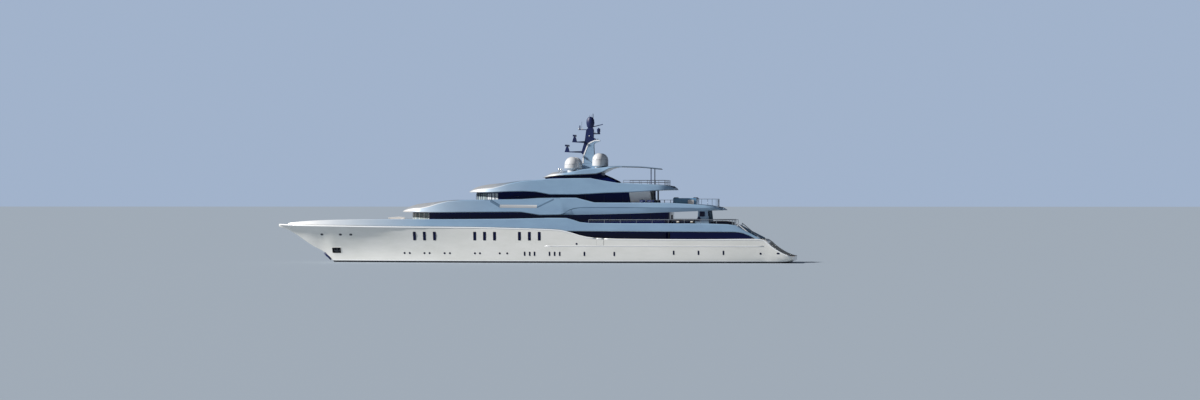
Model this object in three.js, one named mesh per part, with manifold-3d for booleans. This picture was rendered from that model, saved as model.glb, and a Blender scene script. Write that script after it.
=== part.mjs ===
// A long, low, four-deck displacement motor yacht with a raked bow, a sloped stern and twin screws,
// built as a half-size model (1:2). The drawing is in metres of the model, and the last lines of the
// file hand it over in millimetres. The origin is amidships, on the centreline, at the waterline.
// The bow points to -X, port is -Y and +Z is up.
import * as THREE from "three";
import { mergeVertices } from "three/addons/utils/BufferGeometryUtils.js";
import Module from "manifold-3d";

const wasm = await Module();
wasm.setup();

// Driving sizes, in metres of the model.
const SEAT = 0.0003; // between pieces that rest on each other
const CLEAR = 0.006; // round a piece that moves
const SWING = 0.024; // at the free edge of a hinged leaf, which swings out past its closed place
const BULWARK = 0.11; // thickness of the hull's bulwarks
const PANEL = 0.12; // thickness of the bulwarks of the decks above
const WALL = 0.1; // a deckhouse wall with its glazing
const SHEET = 0.02; // the glazing alone
const PLATFORM = 0.49; // heights of the bathing platform and of the deck floors
const MAIN_DECK = 1.25;
const UPPER_DECK = 2.55;
const BRIDGE_DECK = 3.92;
const SUN_DECK = 5.46;
const DECK_SHEET = 0.06; // thickness of the upper deck's floor where it lies on the hull
const SIDE_DECK_START = 2.7; // forward of this the main deck takes the whole beam
const TRANSOM = 17.5;
const DOOR_HEIGHT = 1.0;

// Paints and finishes, as in the photograph.
const finish = (color, roughness, metalness) =>
  new THREE.MeshStandardMaterial({ color, roughness, metalness });
const HULL_WHITE = finish(0xe6e2d6, 0.35, 0);
const SILVER = finish(0xa9bccf, 0.3, 0.4);
const WHITE = finish(0xf0eee8, 0.4, 0);
const TINTED = finish(0x0b1026, 0.08, 0);
const NAVY = finish(0x101c44, 0.35, 0.2);
const STEEL = finish(0xc9cdd2, 0.25, 1);
const BRONZE = finish(0xa9824c, 0.35, 1);
const TEAK = finish(0xb08a5e, 0.7, 0);
const CUSHION = finish(0xe9e4d8, 0.9, 0);
const BOTTOM = finish(0x18224a, 0.6, 0);

// Turns a geometry into a solid, with its shared corners merged and its faces pointing out.
function solidOf(geometry) {
  const bare = geometry.index ? geometry.toNonIndexed() : geometry.clone();
  bare.deleteAttribute("normal");
  bare.deleteAttribute("uv");
  const merged = mergeVertices(bare, 1e-6);
  const all = merged.index.array;
  const kept = [];
  for (let i = 0; i < all.length; i += 3) {
    const [a, b, c] = [all[i], all[i + 1], all[i + 2]];
    if (a !== b && b !== c && c !== a) kept.push(a, b, c);
  }
  const build = (corners) =>
    new wasm.Manifold(
      new wasm.Mesh({
        numProp: 3,
        vertProperties: merged.attributes.position.array,
        triVerts: new Uint32Array(corners),
      }),
    );
  const made = build(kept);
  return made.volume() < 0 ? build(kept.reverse()) : made;
}

// The geometry of a solid.
function geometryOf(solid) {
  const { vertProperties, triVerts, numProp } = solid.getMesh();
  const count = vertProperties.length / numProp;
  const positions = new Float32Array(count * 3);
  for (let i = 0; i < count; i++)
    for (let k = 0; k < 3; k++) positions[i * 3 + k] = vertProperties[i * numProp + k];
  const geometry = new THREE.BufferGeometry();
  geometry.setAttribute("position", new THREE.BufferAttribute(positions, 3));
  geometry.setIndex(new THREE.BufferAttribute(triVerts, 1));
  return geometry;
}

const join = (...solids) => solids.reduce((a, b) => a.add(b));
const moved = (solid, matrix) => solidOf(geometryOf(solid).applyMatrix4(matrix));
const mirrored = (solid) => moved(solid, new THREE.Matrix4().makeScale(1, -1, 1));
const lifted = (solid, height) => moved(solid, new THREE.Matrix4().makeTranslation(0, 0, height));
const standingOn = (solid, floor) => solid.subtract(lifted(floor, SEAT));
const hangingFrom = (solid, ceiling) => solid.subtract(lifted(ceiling, -SEAT));

// A smooth curve through a table of [x, value] rows, which never overshoots them.
function curve(rows) {
  const xs = rows.map((row) => row[0]);
  const ys = rows.map((row) => row[1]);
  const slopes = xs.slice(1).map((x, i) => (ys[i + 1] - ys[i]) / (x - xs[i]));
  const tangents = xs.map((_, i) => {
    const before = slopes[Math.max(i - 1, 0)];
    const after = slopes[Math.min(i, slopes.length - 1)];
    return before * after <= 0 ? 0 : (2 * before * after) / (before + after);
  });
  return (x) => {
    if (x <= xs[0]) return ys[0];
    if (x >= xs.at(-1)) return ys.at(-1);
    const i = xs.findIndex((v) => v > x) - 1;
    const h = xs[i + 1] - xs[i];
    const t = (x - xs[i]) / h;
    return (
      ys[i] * (1 + 2 * t) * (1 - t) ** 2 +
      tangents[i] * h * t * (1 - t) ** 2 +
      ys[i + 1] * t * t * (3 - 2 * t) +
      tangents[i + 1] * h * t * t * (t - 1)
    );
  };
}

// A closed body through equal loops of points, each in a plane across the ship.
function skin(rings) {
  const n = rings[0].length;
  const index = [];
  for (let i = 0; i + 1 < rings.length; i++)
    for (let j = 0; j < n; j++) {
      const a = i * n + j;
      const b = i * n + ((j + 1) % n);
      index.push(a, b, b + n, a, b + n, a + n);
    }
  for (const ring of [0, rings.length - 1]) {
    const loop = rings[ring].map(([, y, z]) => new THREE.Vector2(y, z));
    const area = THREE.ShapeUtils.area(loop);
    if (Math.abs(area) < 1e-7) continue;
    // The strips run a, b, b + n, so the first end's faces run against the loop and the last's with it.
    const along = area > 0 === ring > 0;
    for (const face of THREE.ShapeUtils.triangulateShape(loop, [])) {
      const corners = face.map((corner) => ring * n + corner);
      index.push(...(along ? corners : corners.reverse()));
    }
  }
  const geometry = new THREE.BufferGeometry();
  geometry.setAttribute("position", new THREE.Float32BufferAttribute(rings.flat(2), 3));
  geometry.setIndex(index);
  return solidOf(geometry);
}

const shapeOf = (points) => new THREE.Shape(points.map(([a, b]) => new THREE.Vector2(a, b)));
const extruded = (points, depth) =>
  new THREE.ExtrudeGeometry(shapeOf(points), { depth, bevelEnabled: false });

// An upright prism over a plan of [x, y] points.
const prism = (plan, low, high) => solidOf(extruded(plan, high - low).translate(0, 0, low));

// A prism across the ship over a side view of [x, z] points.
const plate = (side, from, to) =>
  solidOf(extruded(side, to - from).rotateX(Math.PI / 2).translate(0, to, 0));

// A prism along the ship over a front view of [y, z] points.
const bar = (front, from, to) =>
  solidOf(extruded(front, to - from).rotateX(Math.PI / 2).rotateZ(Math.PI / 2).translate(from, 0, 0));

// A box between two corners.
function block([x0, y0, z0], [x1, y1, z1]) {
  const geometry = new THREE.BoxGeometry(x1 - x0, y1 - y0, z1 - z0);
  return solidOf(geometry.translate((x0 + x1) / 2, (y0 + y1) / 2, (z0 + z1) / 2));
}

// A straight bar of regular section between two points.
function rod(from, to, radius, sides = 8) {
  const path = new THREE.LineCurve3(new THREE.Vector3(...from), new THREE.Vector3(...to));
  const section = [];
  for (let i = 0; i < sides; i++) {
    const angle = ((i + 0.5) / sides) * 2 * Math.PI;
    section.push([radius * Math.cos(angle), radius * Math.sin(angle)]);
  }
  const options = { steps: 1, extrudePath: path, bevelEnabled: false };
  return solidOf(new THREE.ExtrudeGeometry(shapeOf(section), options));
}

// A body of revolution about an upright axis, from [radius, height] points.
function turned(profile, sides = 16) {
  const points = profile.map(([radius, height]) => new THREE.Vector2(radius, height));
  return solidOf(new THREE.LatheGeometry(points, sides).rotateX(Math.PI / 2));
}

// Stations along a plan, closer together where its ends round in.
function stations({ nose, noseLength, tail, corner }, inset, middle) {
  const steps = 8;
  const from = nose + inset;
  const to = tail - inset;
  const list = [];
  for (let i = 0; i <= steps; i++)
    list.push(from + noseLength * (1 - Math.cos(((i / steps) * Math.PI) / 2)));
  const flatStart = from + noseLength;
  const flatEnd = to - (corner - inset);
  for (let i = 1; i < middle; i++) list.push(flatStart + ((flatEnd - flatStart) * i) / middle);
  for (let i = 0; i <= steps / 2; i++)
    list.push(flatEnd + (corner - inset) * Math.sin(((i / (steps / 2)) * Math.PI) / 2));
  return list.filter((x, i) => i === 0 || x - list[i - 1] > 1e-4);
}

// Half-breadth of a plan with an elliptical nose and a square tail with round corners, taken in by an
// inset all round.
function breadth({ nose, noseLength, tail, corner, half }, inset = 0) {
  return (x) => {
    const forward = Math.min(Math.max((x - nose - inset) / noseLength, 0), 1);
    const radius = corner - inset;
    const aft = Math.min(Math.max(radius - (tail - inset - x), 0), radius);
    return (half - inset) * Math.sqrt(1 - (1 - forward) ** 2) - radius + Math.sqrt(radius ** 2 - aft ** 2);
  };
}

// The outline of a plan, taken in by an inset all round, as [x, y] points.
function outline(plan, inset = 0) {
  const side = breadth(plan, inset);
  const xs = stations(plan, inset, 2);
  const port = xs.map((x) => [x, -Math.max(side(x), 0)]);
  const starboard = xs.map((x) => [x, Math.max(side(x), 0)]).reverse();
  if (starboard.at(-1)[1] === 0) starboard.pop();
  return [...port, ...starboard];
}

// A thick deck edge with the deck it carries: a band between two curves of height over a breadth.
// The side leans in a little towards the cambered top. It is widest at a crease, and below that it is
// tucked in towards the lower edge. Both are curves too, and without them the lower edge is chamfered.
const EDGE = 0.05;
const LEAN = 0.04;
const MOST = { step: 0.2, drop: 0.5 }; // of the band's height, for the step at its edges and for its camber
function band(xs, side, bottom, top, camber, crease = () => 0, tuck = () => EDGE) {
  return skin(
    xs.map((x) => {
      const h = Math.max(side(x), 0);
      const [low, high] = [bottom(x), top(x)];
      const step = Math.min(EDGE, (high - low) * MOST.step);
      const drop = Math.min(camber(x), (high - low) * MOST.drop);
      const starboard = [
        [x, Math.max(h - tuck(x), 0), low],
        [x, h, Math.max(low + step, crease(x))],
        [x, Math.max(h - LEAN, 0), high - drop - step],
        [x, Math.max(h - LEAN - EDGE, 0), high - drop],
      ];
      const port = starboard.map(([, y, z]) => [x, -y, z]).reverse();
      return [[x, 0, low], ...starboard, [x, 0, high], ...port];
    }),
  );
}

// Hull lines, each a short table of [x, value].
const keel = curve([
  [-19.43, 2.66], [-18.74, 2.43], [-18.13, 2.1], [-17.38, 1.59], [-16.83, 1.22], [-15.99, 0.79],
  [-15.6, 0.42], [-15.2, 0], [-14.95, -0.45], [-14.6, -1], [-14.1, -1.4], [-13, -1.72], [-11, -1.88],
  [-6, -1.95], [8, -1.95], [11, -1.8], [14, -1.1], [16, -0.6], [17.5, -0.32], [18.9, 0], [19.42, 0.17],
]);
const waterline = curve([
  [-15.2, 0], [-14.7, 0.15], [-13.6, 0.46], [-11.4, 1.08], [-8.5, 1.76], [-5.5, 2.28], [-2, 2.66],
  [3, 2.85], [8, 2.86], [12, 2.8], [15, 2.68], [17, 2.58], [19.42, 2.45],
]);
const sheerBreadth = curve([
  [-19.43, 0], [-19.15, 0.34], [-18.3, 0.84], [-17, 1.35], [-14.7, 1.97], [-12.6, 2.32], [-10, 2.6],
  [-7, 2.79], [-4, 2.89], [0, 2.95], [8, 2.95], [12, 2.92], [15, 2.85], [17, 2.77], [19.42, 2.65],
]);
const sheer = curve([
  [-19.43, 2.87], [-17.71, 2.8], [-14.49, 2.75], [-9.8, 2.69], [-4.49, 2.66], [-0.75, 2.57],
  [1.12, 2.52], [2.38, 2.44], [2.7, 2.36], [3.2, 2.22], [4.02, 1.98], [4.91, 1.86], [6.7, 1.8],
  [12.62, 1.77], [15.19, 1.79], [16.72, 1.8], [17.02, 1.78], [17.31, 1.74], [17.86, 1.27],
  [18.61, 0.78], [19.17, 0.54], [19.42, 0.52],
]);
const fullness = curve([[-15, 1.4], [-12, 1.6], [-8, 2], [-3, 2.6], [2, 3], [8, 2.8], [12, 2.4], [19, 3]]);
const flare = curve([[-19, 1], [-17, 1.2], [-13, 1.45], [-8, 1.2], [-3, 0.8], [2, 0.5], [19, 0.5]]);
const BILGE_HEIGHT = 0.12; // of the turn of the bilge over the keel line where the stern lifts clear

const FORWARD_STATIONS = [
  -19.43, -19.3, -19.05, -18.6, -18, -17.38, -16.83, -16.4, -15.99, -15.6, -15.2, -14.95, -14.7, -14.3,
  -13.6, -12.6, -11.2, -9.8, -8, -6, -4, -2, 0, 1.4, 2.2, SIDE_DECK_START,
];
const AFT_STATIONS = [
  3.2, 3.7, 4.3, 5, 6.5, 8.5, 10.5, 12.5, 14, 15.2, 16.2, 16.72, 17.02, 17.31, 17.6, 17.86, 18.2, 18.61,
  19.17, 19.42,
];

// Where the side of the hull turns up from the bottom, and its half-breadth at a height over that.
const turn = (x) => Math.max(0, keel(x) + (x > 0 ? BILGE_HEIGHT : 0));
function hullSide(x, z) {
  const rise = Math.min(Math.max((z - turn(x)) / (sheer(x) - turn(x)), 0), 1);
  return waterline(x) + (sheerBreadth(x) - waterline(x)) * rise ** flare(x);
}

function hullRing(x) {
  const low = turn(x);
  const starboard = [];
  for (const t of [0.25, 0.5, 0.75, 1]) {
    const power = 2 / fullness(x);
    const y = waterline(x) * Math.sin((t * Math.PI) / 2) ** power;
    const depth = Math.cos((t * Math.PI) / 2) ** power;
    starboard.push([x, y, low + (keel(x) - low) * (t < 1 ? depth : 0)]);
  }
  for (const t of [0.25, 0.5, 0.75, 1]) {
    const z = low + (sheer(x) - low) * t;
    starboard.push([x, hullSide(x, z), z]);
  }
  const port = starboard.map(([, y, z]) => [x, -y, z]).reverse();
  return [[x, 0, keel(x)], ...starboard, ...port];
}

// A plan that follows the hull's side at a height, taken in by an inset, between two stations.
function hullPlan(side, inset, from, to) {
  const xs = [...FORWARD_STATIONS, ...AFT_STATIONS].filter((x) => x > from + 0.05 && x < to - 0.05);
  const all = [from, ...xs, to];
  const port = all.map((x) => [x, inset - side(x)]);
  const starboard = all.map((x) => [x, side(x) - inset]).reverse();
  return [...port, ...starboard];
}

// The deck plans. Each has an elliptical nose, a square tail with round corners and one half-breadth.
const BRIDGE_PLAN = { nose: -9.98, noseLength: 3.8, tail: 14.33, corner: 1.4, half: 2.62 };
const BRIDGE_WELL = { nose: -5.8, noseLength: 2.8, tail: 14.21, corner: 1.28, half: 2.42 };
const SUN_PLAN = { nose: -4.95, noseLength: 3.3, tail: 10.65, corner: 1.2, half: 2.35 };
const SUN_WELL = { nose: -0.35, noseLength: 1.6, tail: 10.53, corner: 1.08, half: 2.23 };
const ROOF_PLAN = { nose: 0.62, noseLength: 2.2, tail: 9.47, corner: 0.8, half: 1.72 };

// The deckhouse plans.
const MAIN_HOUSE = { nose: 2.74, noseLength: 0.5, tail: 10.3, corner: 0.4, half: 2.22 };
const UPPER_HOUSE = { nose: -9.23, noseLength: 3.3, tail: 10.27, corner: 0.4, half: 2.15 };
const BRIDGE_HOUSE = { nose: -4.4, noseLength: 2.6, tail: 7.9, corner: 0.4, half: 1.85 };
const TOP_HOUSE = { nose: 0.78, noseLength: 1.9, tail: 5.15, corner: 0.3, half: 1.5 };

// Heights of the lower and upper edges of the deck bands, as the photograph shows them.
const upperBottom = (x) => (x <= SIDE_DECK_START || x >= 16.7 ? sheer(x) + SEAT : upperUnder(x));
const upperUnder = curve([
  [2.7, 2.36], [4, 2.35], [6.68, 2.34], [12.61, 2.31], [15.19, 2.3], [15.74, 2.22], [16.2, 2.05],
  [16.72, 1.81],
]);
const upperTop = curve([
  [-18.6, 2.93], [-17.75, 3.04], [-16.13, 3.14], [-14.12, 3.2], [-11.36, 3.24], [-7.51, 3.23],
  [-3.76, 3.25], [-0.76, 3.28], [1.1, 3.34], [2.82, 3.33], [3.39, 3.13], [4.08, 2.97], [6.68, 2.94],
  [12.61, 2.93], [14.96, 2.86], [15.92, 2.41], [17.02, 1.85],
]);
const bridgeBottom = curve([
  [-9.98, 3.78], [-7.5, 3.72], [-3.78, 3.75], [-0.71, 3.76], [0.18, 3.53], [2.8, 3.56], [5.18, 3.6],
  [8.89, 3.7], [12.57, 3.85], [14.33, 3.9],
]);
const bridgeTop = curve([
  [-9.98, 3.84], [-9.55, 4.12], [-8.89, 4.35], [-7.57, 4.5], [-6.27, 4.66], [-3.81, 4.72],
  [-0.2, 4.78], [1.05, 4.87], [3.32, 4.87], [3.94, 4.75], [4.88, 4.51], [9.63, 4.5], [12.79, 4.33],
  [13.98, 4.14], [14.33, 3.95],
]);
const bridgeCrease = curve([
  [2.2, 3.58], [2.5, 3.68], [3, 4.02], [3.32, 4.09], [10, 4.11], [12.57, 4.08], [13.98, 4], [14.33, 3.92],
]);
const bridgeTuck = curve([[2, 0.05], [3.3, 0.17], [12.5, 0.17], [14.33, 0.05]]);
const bridgeCamber = curve([
  [-9.98, 0.45], [-8.58, 0.45], [-8.13, 0.38], [-7.31, 0.23], [-6.56, 0.13], [-5.8, 0.04],
]);
const sunBottom = curve([
  [-4.95, 5.23], [-3.28, 5.21], [-1.22, 5.29], [0, 5.3], [0.39, 5.25], [1, 5.07], [3.27, 5.05],
  [5.13, 5.16], [7.81, 5.25], [9.58, 5.37], [10.65, 5.39],
]);
const sunTop = curve([
  [-4.95, 5.28], [-4.44, 5.6], [-3.6, 5.81], [-2.24, 5.95], [-0.89, 6.12], [0.28, 6.18], [1.02, 6.27],
  [4.45, 6.32], [5.19, 6.18], [6.27, 5.98], [8.91, 5.87], [10.32, 5.72], [10.65, 5.48],
]);
const sunCamber = curve([
  [-4.95, 0.45], [-4, 0.4], [-2.95, 0.33], [-1.75, 0.16], [-0.7, 0.06], [-0.35, 0.04],
]);
const roofBottom = curve([
  [0.62, 6.32], [2.05, 6.46], [3.62, 6.53], [4.75, 6.59], [5.03, 6.64], [5.6, 6.9], [5.99, 7.1],
  [7.8, 7.07], [9.47, 6.92],
]);
const roofTop = curve([
  [0.62, 6.35], [0.91, 6.5], [1.33, 6.72], [2.22, 6.82], [3.21, 6.96], [4.37, 7.06], [5.44, 7.15],
  [5.99, 7.2], [7.8, 7.17], [9.47, 7.01],
]);
const roofCamber = curve([[0.62, 0.3], [2.06, 0.25], [3.26, 0.15], [4, 0.06]]);

// The hull, solid but for the locker behind the transom. It is flush with the main deck aft, and its
// bulwarks stand on it. It comes in two lengths, the hull and the stern, which meet at a frame.
const STERN_START = 14.6;
const STAIR = { start: 16.9, inner: 1.75, tread: 0.143, steps: 7 };
const LOCKER = { from: 14.7, half: 1.45, floor: 0.22, ceiling: 1.12 };
const HATCH = { half: 1.3, low: 0.55, high: 1.15, thick: 0.1 };
const PARAPET = { from: 17.3, half: 1.65 }; // across the after end of the main deck
const BULWARK_END = 17.84;
const GATE = { from: 4.95, width: 0.52, sill: 0.06 };
const ANCHOR_POCKET = { from: -15.28, to: -14.6, low: 0.7, high: 1.1, back: 0.2 };
const ENDLESS = 9; // past the outside of everything that is cut

// A box between two corners on one side of the ship, with its two distances out from the centreline.
function sideBlock(side, [x0, out0, z0], [x1, out1, z1]) {
  const [a, b] = [side * out0, side * out1].sort((p, q) => p - q);
  return block([x0, a, z0], [x1, b, z1]);
}

const hullSkin = skin([...FORWARD_STATIONS, ...AFT_STATIONS].map(hullRing));
function makeHull() {
  // The bulb under the bow, the skeg, and the trunks that the rudder stocks and fin stocks leave by.
  const bulb = new THREE.SphereGeometry(1, 16, 10).rotateX(Math.PI / 2).scale(1.7, 0.42, 0.48);
  let hull = hullSkin.add(solidOf(bulb.translate(-14.35, 0, -1.08)));
  const skeg = [[7.5, -1.9], [9, -1.6], [14.4, -0.9], [14.1, -1.5], [13.5, -1.86], [12, -1.92]];
  hull = hull.add(plate(skeg, -0.07, 0.07));
  for (const side of [-1, 1]) {
    hull = hull.add(rod(rudderAt(side, -0.2), rudderAt(side, RUDDER.trunk), 0.09, 12));
    hull = hull.add(rod(finAt(side, -0.4), finAt(side, 0), 0.13, 12));
    hull = hull.subtract(sideBlock(side, [17, PARAPET.half, MAIN_DECK], [BULWARK_END, ENDLESS, ENDLESS]));
  }
  hull = hull.subtract(
    block([SIDE_DECK_START, -ENDLESS, MAIN_DECK], [PARAPET.from, ENDLESS, ENDLESS]),
  );

  // The bathing platform, and the flights of steps on both sides up to the main deck.
  const riser = (MAIN_DECK - PLATFORM) / STAIR.steps;
  const foot = STAIR.start + STAIR.steps * STAIR.tread;
  const drops = [block([foot, -ENDLESS, PLATFORM], [20, ENDLESS, ENDLESS])];
  drops.push(block([TRANSOM, -STAIR.inner - 0.1, PLATFORM], [20, STAIR.inner + 0.1, ENDLESS]));
  for (let i = 0; i < STAIR.steps; i++) {
    const x = STAIR.start + i * STAIR.tread;
    const z = i === STAIR.steps - 1 ? PLATFORM : MAIN_DECK - (i + 1) * riser;
    for (const side of [-1, 1])
      drops.push(sideBlock(side, [x, STAIR.inner, z], [TRANSOM + 1, ENDLESS, ENDLESS]));
  }
  const inside = prism(hullPlan(sheerBreadth, BULWARK, STAIR.start, 19.6), -1, ENDLESS);
  hull = hull.subtract(join(...drops).intersect(inside));

  // The locker behind the transom and its doorway.
  const { from, half, floor, ceiling } = LOCKER;
  hull = hull.subtract(block([from, -half, floor], [TRANSOM - HATCH.thick - 0.08, half, ceiling]));
  hull = hull.subtract(
    block([TRANSOM - 0.3, -HATCH.half, HATCH.low], [TRANSOM + 1, HATCH.half, ceiling]),
  );
  hull = hull.subtract(
    block([TRANSOM - HATCH.thick - CLEAR, -HATCH.half, HATCH.low], [TRANSOM + 1, HATCH.half, HATCH.high]),
  );

  const pocket = ANCHOR_POCKET;
  for (const side of [-1, 1])
    hull = hull.subtract(
      sideBlock(side, [pocket.from, pocket.back, pocket.low], [pocket.to, ENDLESS, pocket.high]),
    );
  return hull;
}

// The bulwark of the main deck on one side, with its gateway over a low sill.
const bulwarkSkin = hullSkin.subtract(prism(hullPlan(sheerBreadth, BULWARK, 2, 18.6), 0, ENDLESS));
function makeBulwark(side) {
  const start = [SIDE_DECK_START + SEAT, 1, MAIN_DECK + SEAT];
  const gateway = sideBlock(
    side,
    [GATE.from, 1, MAIN_DECK + GATE.sill],
    [GATE.from + CLEAR + GATE.width + SWING, ENDLESS, ENDLESS],
  );
  const length = sideBlock(side, start, [BULWARK_END - SEAT, ENDLESS, ENDLESS]);
  return bulwarkSkin.intersect(length).subtract(gateway);
}

// Places on the hull's bottom: the rudder stocks, and the fin stocks by distance out of the bilge.
const RUDDER = { x: 16.7, y: 1.25, trunk: -0.5, top: -0.52, foot: -1.62 };
const FIN = { x: 0.6, y: 2.45, z: -1.36, tilt: (40 * Math.PI) / 180, span: 0.54, root: 0.06 };
const rudderAt = (side, z) => [RUDDER.x, side * RUDDER.y, z];
const finAt = (side, out) => [
  FIN.x,
  side * (FIN.y + Math.cos(FIN.tilt) * (out + FIN.root)),
  FIN.z - Math.sin(FIN.tilt) * (out + FIN.root),
];

// The upper deck: one bulwark band from the bow to the stern wings, with the deck floor in it. Forward
// the floor lies on the hull and rises with its sheer. It comes in three lengths.
const upperFloor = (x) => Math.max(UPPER_DECK, x < SIDE_DECK_START ? sheer(x) + DECK_SHEET : 0);
const STAIR_SLOT = { inner: 2.1, outer: 2.66 }; // of the stern stairs through the after bulwark
const UPPER_END = 15.2;
const UPPER_LENGTHS = [["foredeck", -20, -7.62], ["upper_deck", -7.62, 3.9], ["after_deck", 3.9, 20]];
const UPPER_AFT = [
  SIDE_DECK_START, 3.2, 3.7, 4.3, 5, 7, 10, 13, 14.6, 15.2, 15.5, 15.8, 16.2, 16.72, 17.02,
];
const BRIDGE_STEPS = 14; // stations along the straight part of each deck
const SUN_STEPS = 11;
const ROOF_STEPS = 12;
function makeUpperDeck() {
  const forward = FORWARD_STATIONS.filter((x) => x >= -18.6 && x < SIDE_DECK_START);
  const side = (x) => sheerBreadth(x);
  let deck = band([...forward, ...UPPER_AFT], side, upperBottom, upperTop, () => 0);
  const above = (x) => [
    [x, -ENDLESS, upperFloor(x)], [x, ENDLESS, upperFloor(x)], [x, ENDLESS, ENDLESS], [x, -ENDLESS, ENDLESS],
  ];
  const space = skin([...forward, SIDE_DECK_START, 3.2].map(above));
  deck = deck.subtract(space.intersect(prism(hullPlan(side, PANEL, -15.9, 2.8), 0, ENDLESS)));
  deck = deck.subtract(prism(hullPlan(side, PANEL, 2.75, UPPER_END - 0.1), UPPER_DECK, ENDLESS));
  deck = deck.subtract(prism(hullPlan(side, PANEL, UPPER_END, 17.5), 1, ENDLESS));
  for (const hand of [-1, 1]) {
    const [a, b] = [hand * STAIR_SLOT.inner, hand * STAIR_SLOT.outer].sort((p, q) => p - q);
    deck = deck.subtract(block([UPPER_END - 0.3, a, UPPER_DECK], [UPPER_END + 0.1, b, ENDLESS]));
  }
  return deck;
}

// The bridge deck, with a scoop in each side below the wheelhouse, and with the two fairings that carry
// its after end.
const SCOOP_BACK = 2.5; // from the centreline
const SCOOP_RISE = 0.13; // of its floor from the outside to the back
const SCOOP = [[-3.35, 4.78], [-2.3, 4.19], [0.47, 4.16], [2.1, 4.9]]; // its lower edge, [x, z]
const BRIDGE_XS = [...stations(BRIDGE_PLAN, 0, BRIDGE_STEPS), 2.2, 2.6, 3, 3.4].sort((a, b) => a - b);
function makeBridgeDeck(upperDeck) {
  const side = breadth(BRIDGE_PLAN);
  let deck = band(BRIDGE_XS, side, bridgeBottom, bridgeTop, bridgeCamber, bridgeCrease, bridgeTuck);
  const scoop = skin(
    SCOOP.map(([x, z]) => {
      const outside = [[x, BRIDGE_PLAN.half, z], [x, ENDLESS, z], [x, ENDLESS, ENDLESS]];
      return [[x, SCOOP_BACK, z + SCOOP_RISE], ...outside, [x, SCOOP_BACK, ENDLESS]];
    }),
  );
  deck = deck.subtract(scoop).subtract(mirrored(scoop));
  deck = deck.subtract(prism(outline(BRIDGE_WELL), BRIDGE_DECK, ENDLESS));
  const fairing = [[12.15, 2.5], [13.25, 2.5], [13.1, 3.88], [12.4, 3.88], [12.36, 3.35], [12.15, 3.05]];
  for (const side of [-1, 1]) {
    const [a, b] = [side * 1.85, side * 2.0].sort((p, q) => p - q);
    deck = deck.add(standingOn(plate(fairing, a, b), upperDeck));
  }
  return deck;
}

// The sun deck, with the two pairs of posts that carry its after end.
function makeSunDeck(bridgeDeck) {
  const xs = stations(SUN_PLAN, 0, SUN_STEPS);
  let deck = band(xs, breadth(SUN_PLAN), sunBottom, sunTop, sunCamber);
  deck = deck.subtract(prism(outline(SUN_WELL), SUN_DECK, ENDLESS));
  for (const y of [-1.2, 1.2])
    deck = deck.add(standingOn(rod([9.12, y, 3.9], [9.12, y, 5.4], 0.06), bridgeDeck));
  return deck;
}

// The hardtop: a thick roof over the top house that runs out aft into a thin canopy on two posts.
function makeHardtop(sunDeck) {
  const xs = stations(ROOF_PLAN, 0, ROOF_STEPS);
  const roof = band(xs, breadth(ROOF_PLAN), roofBottom, roofTop, roofCamber);
  const posts = [-1.4, 1.4].map((y) => rod([8.85, y, 5.4], [8.85, y, 7.03], 0.035));
  return roof.add(standingOn(join(...posts), sunDeck));
}

// All the space below a ceiling whose height is a curve, at the stations of the band that makes it.
function under(xs, ceiling) {
  const section = (x, high) => [[x, -ENDLESS, 0], [x, ENDLESS, 0], [x, ENDLESS, high], [x, -ENDLESS, high]];
  return skin(xs.map((x) => section(x, ceiling(x) - SEAT)));
}

// A deckhouse: a wall with its windows cut out, and the tinted glazing that covers it.
function makeHouse(plan, floor, low, ceiling, windows) {
  const ring = (outer, inner) =>
    prism(outline(plan, outer), low + SEAT, ENDLESS).subtract(prism(outline(plan, inner), 0, ENDLESS));
  let wall = ring(SHEET + SEAT, WALL);
  let glazing = ring(0, SHEET);
  for (const [from, to, count, bottom, top] of windows) {
    const pitch = (to - from) / count;
    for (let i = 0; i < count; i++) {
      const x = from + i * pitch;
      wall = wall.subtract(block([x, -ENDLESS, bottom], [x + pitch - 0.12, ENDLESS, top]));
    }
  }
  [wall, glazing] = [wall, glazing].map((solid) => standingOn(solid, floor).intersect(ceiling));
  return { wall, glazing };
}

// The glass wings of the top house, which slope down aft onto the deck.
const TOP_WING = [[4.7, 5.4], [4.7, 6.6], [5.06, 6.58], [5.62, 6.34], [6.24, 6.04], [6.5, 5.4]];
function addTopWings(house, floor) {
  const { half } = TOP_HOUSE;
  for (const side of [-1, 1]) {
    const [a, b] = [side * (half - SHEET), side * half].sort((p, q) => p - q);
    const wing = standingOn(plate(TOP_WING, a, b), floor).intersect(topCeiling);
    house.glazing = house.glazing.add(wing);
  }
}

// The white side plates that carry the wall of the bridge house on aft, with a porthole in each. The
// glazing stops short of them at a slant.
const SIDE_PLATE = { from: 7.3, to: 8.95, porthole: [8.25, 4.62], radius: 0.1 };
const GLAZING_END = [[7.2, 5.5], [7.49, 3.8], [8.5, 3.8], [8.5, 5.5]];
function addSidePlates(house, floor, ceiling) {
  const { from, to, porthole, radius } = SIDE_PLATE;
  const outer = BRIDGE_HOUSE.half - SHEET - SEAT;
  const inner = BRIDGE_HOUSE.half - WALL;
  const shape = [[from, 3.8], [to - 0.1, 3.8], [to, 4.3], [to - 0.15, 5.5], [from, 5.5]];
  for (const side of [-1, 1]) {
    const [a, b] = [side * inner, side * outer].sort((p, q) => p - q);
    const [x, z] = porthole;
    const hole = rod([x, a - 0.1, z], [x, b + 0.1, z], radius, 12);
    const panel = standingOn(plate(shape, a, b), floor).intersect(ceiling);
    house.wall = house.wall.add(panel.subtract(hole));
  }
  house.glazing = house.glazing.subtract(plate(GLAZING_END, -ENDLESS, ENDLESS));
}

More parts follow.
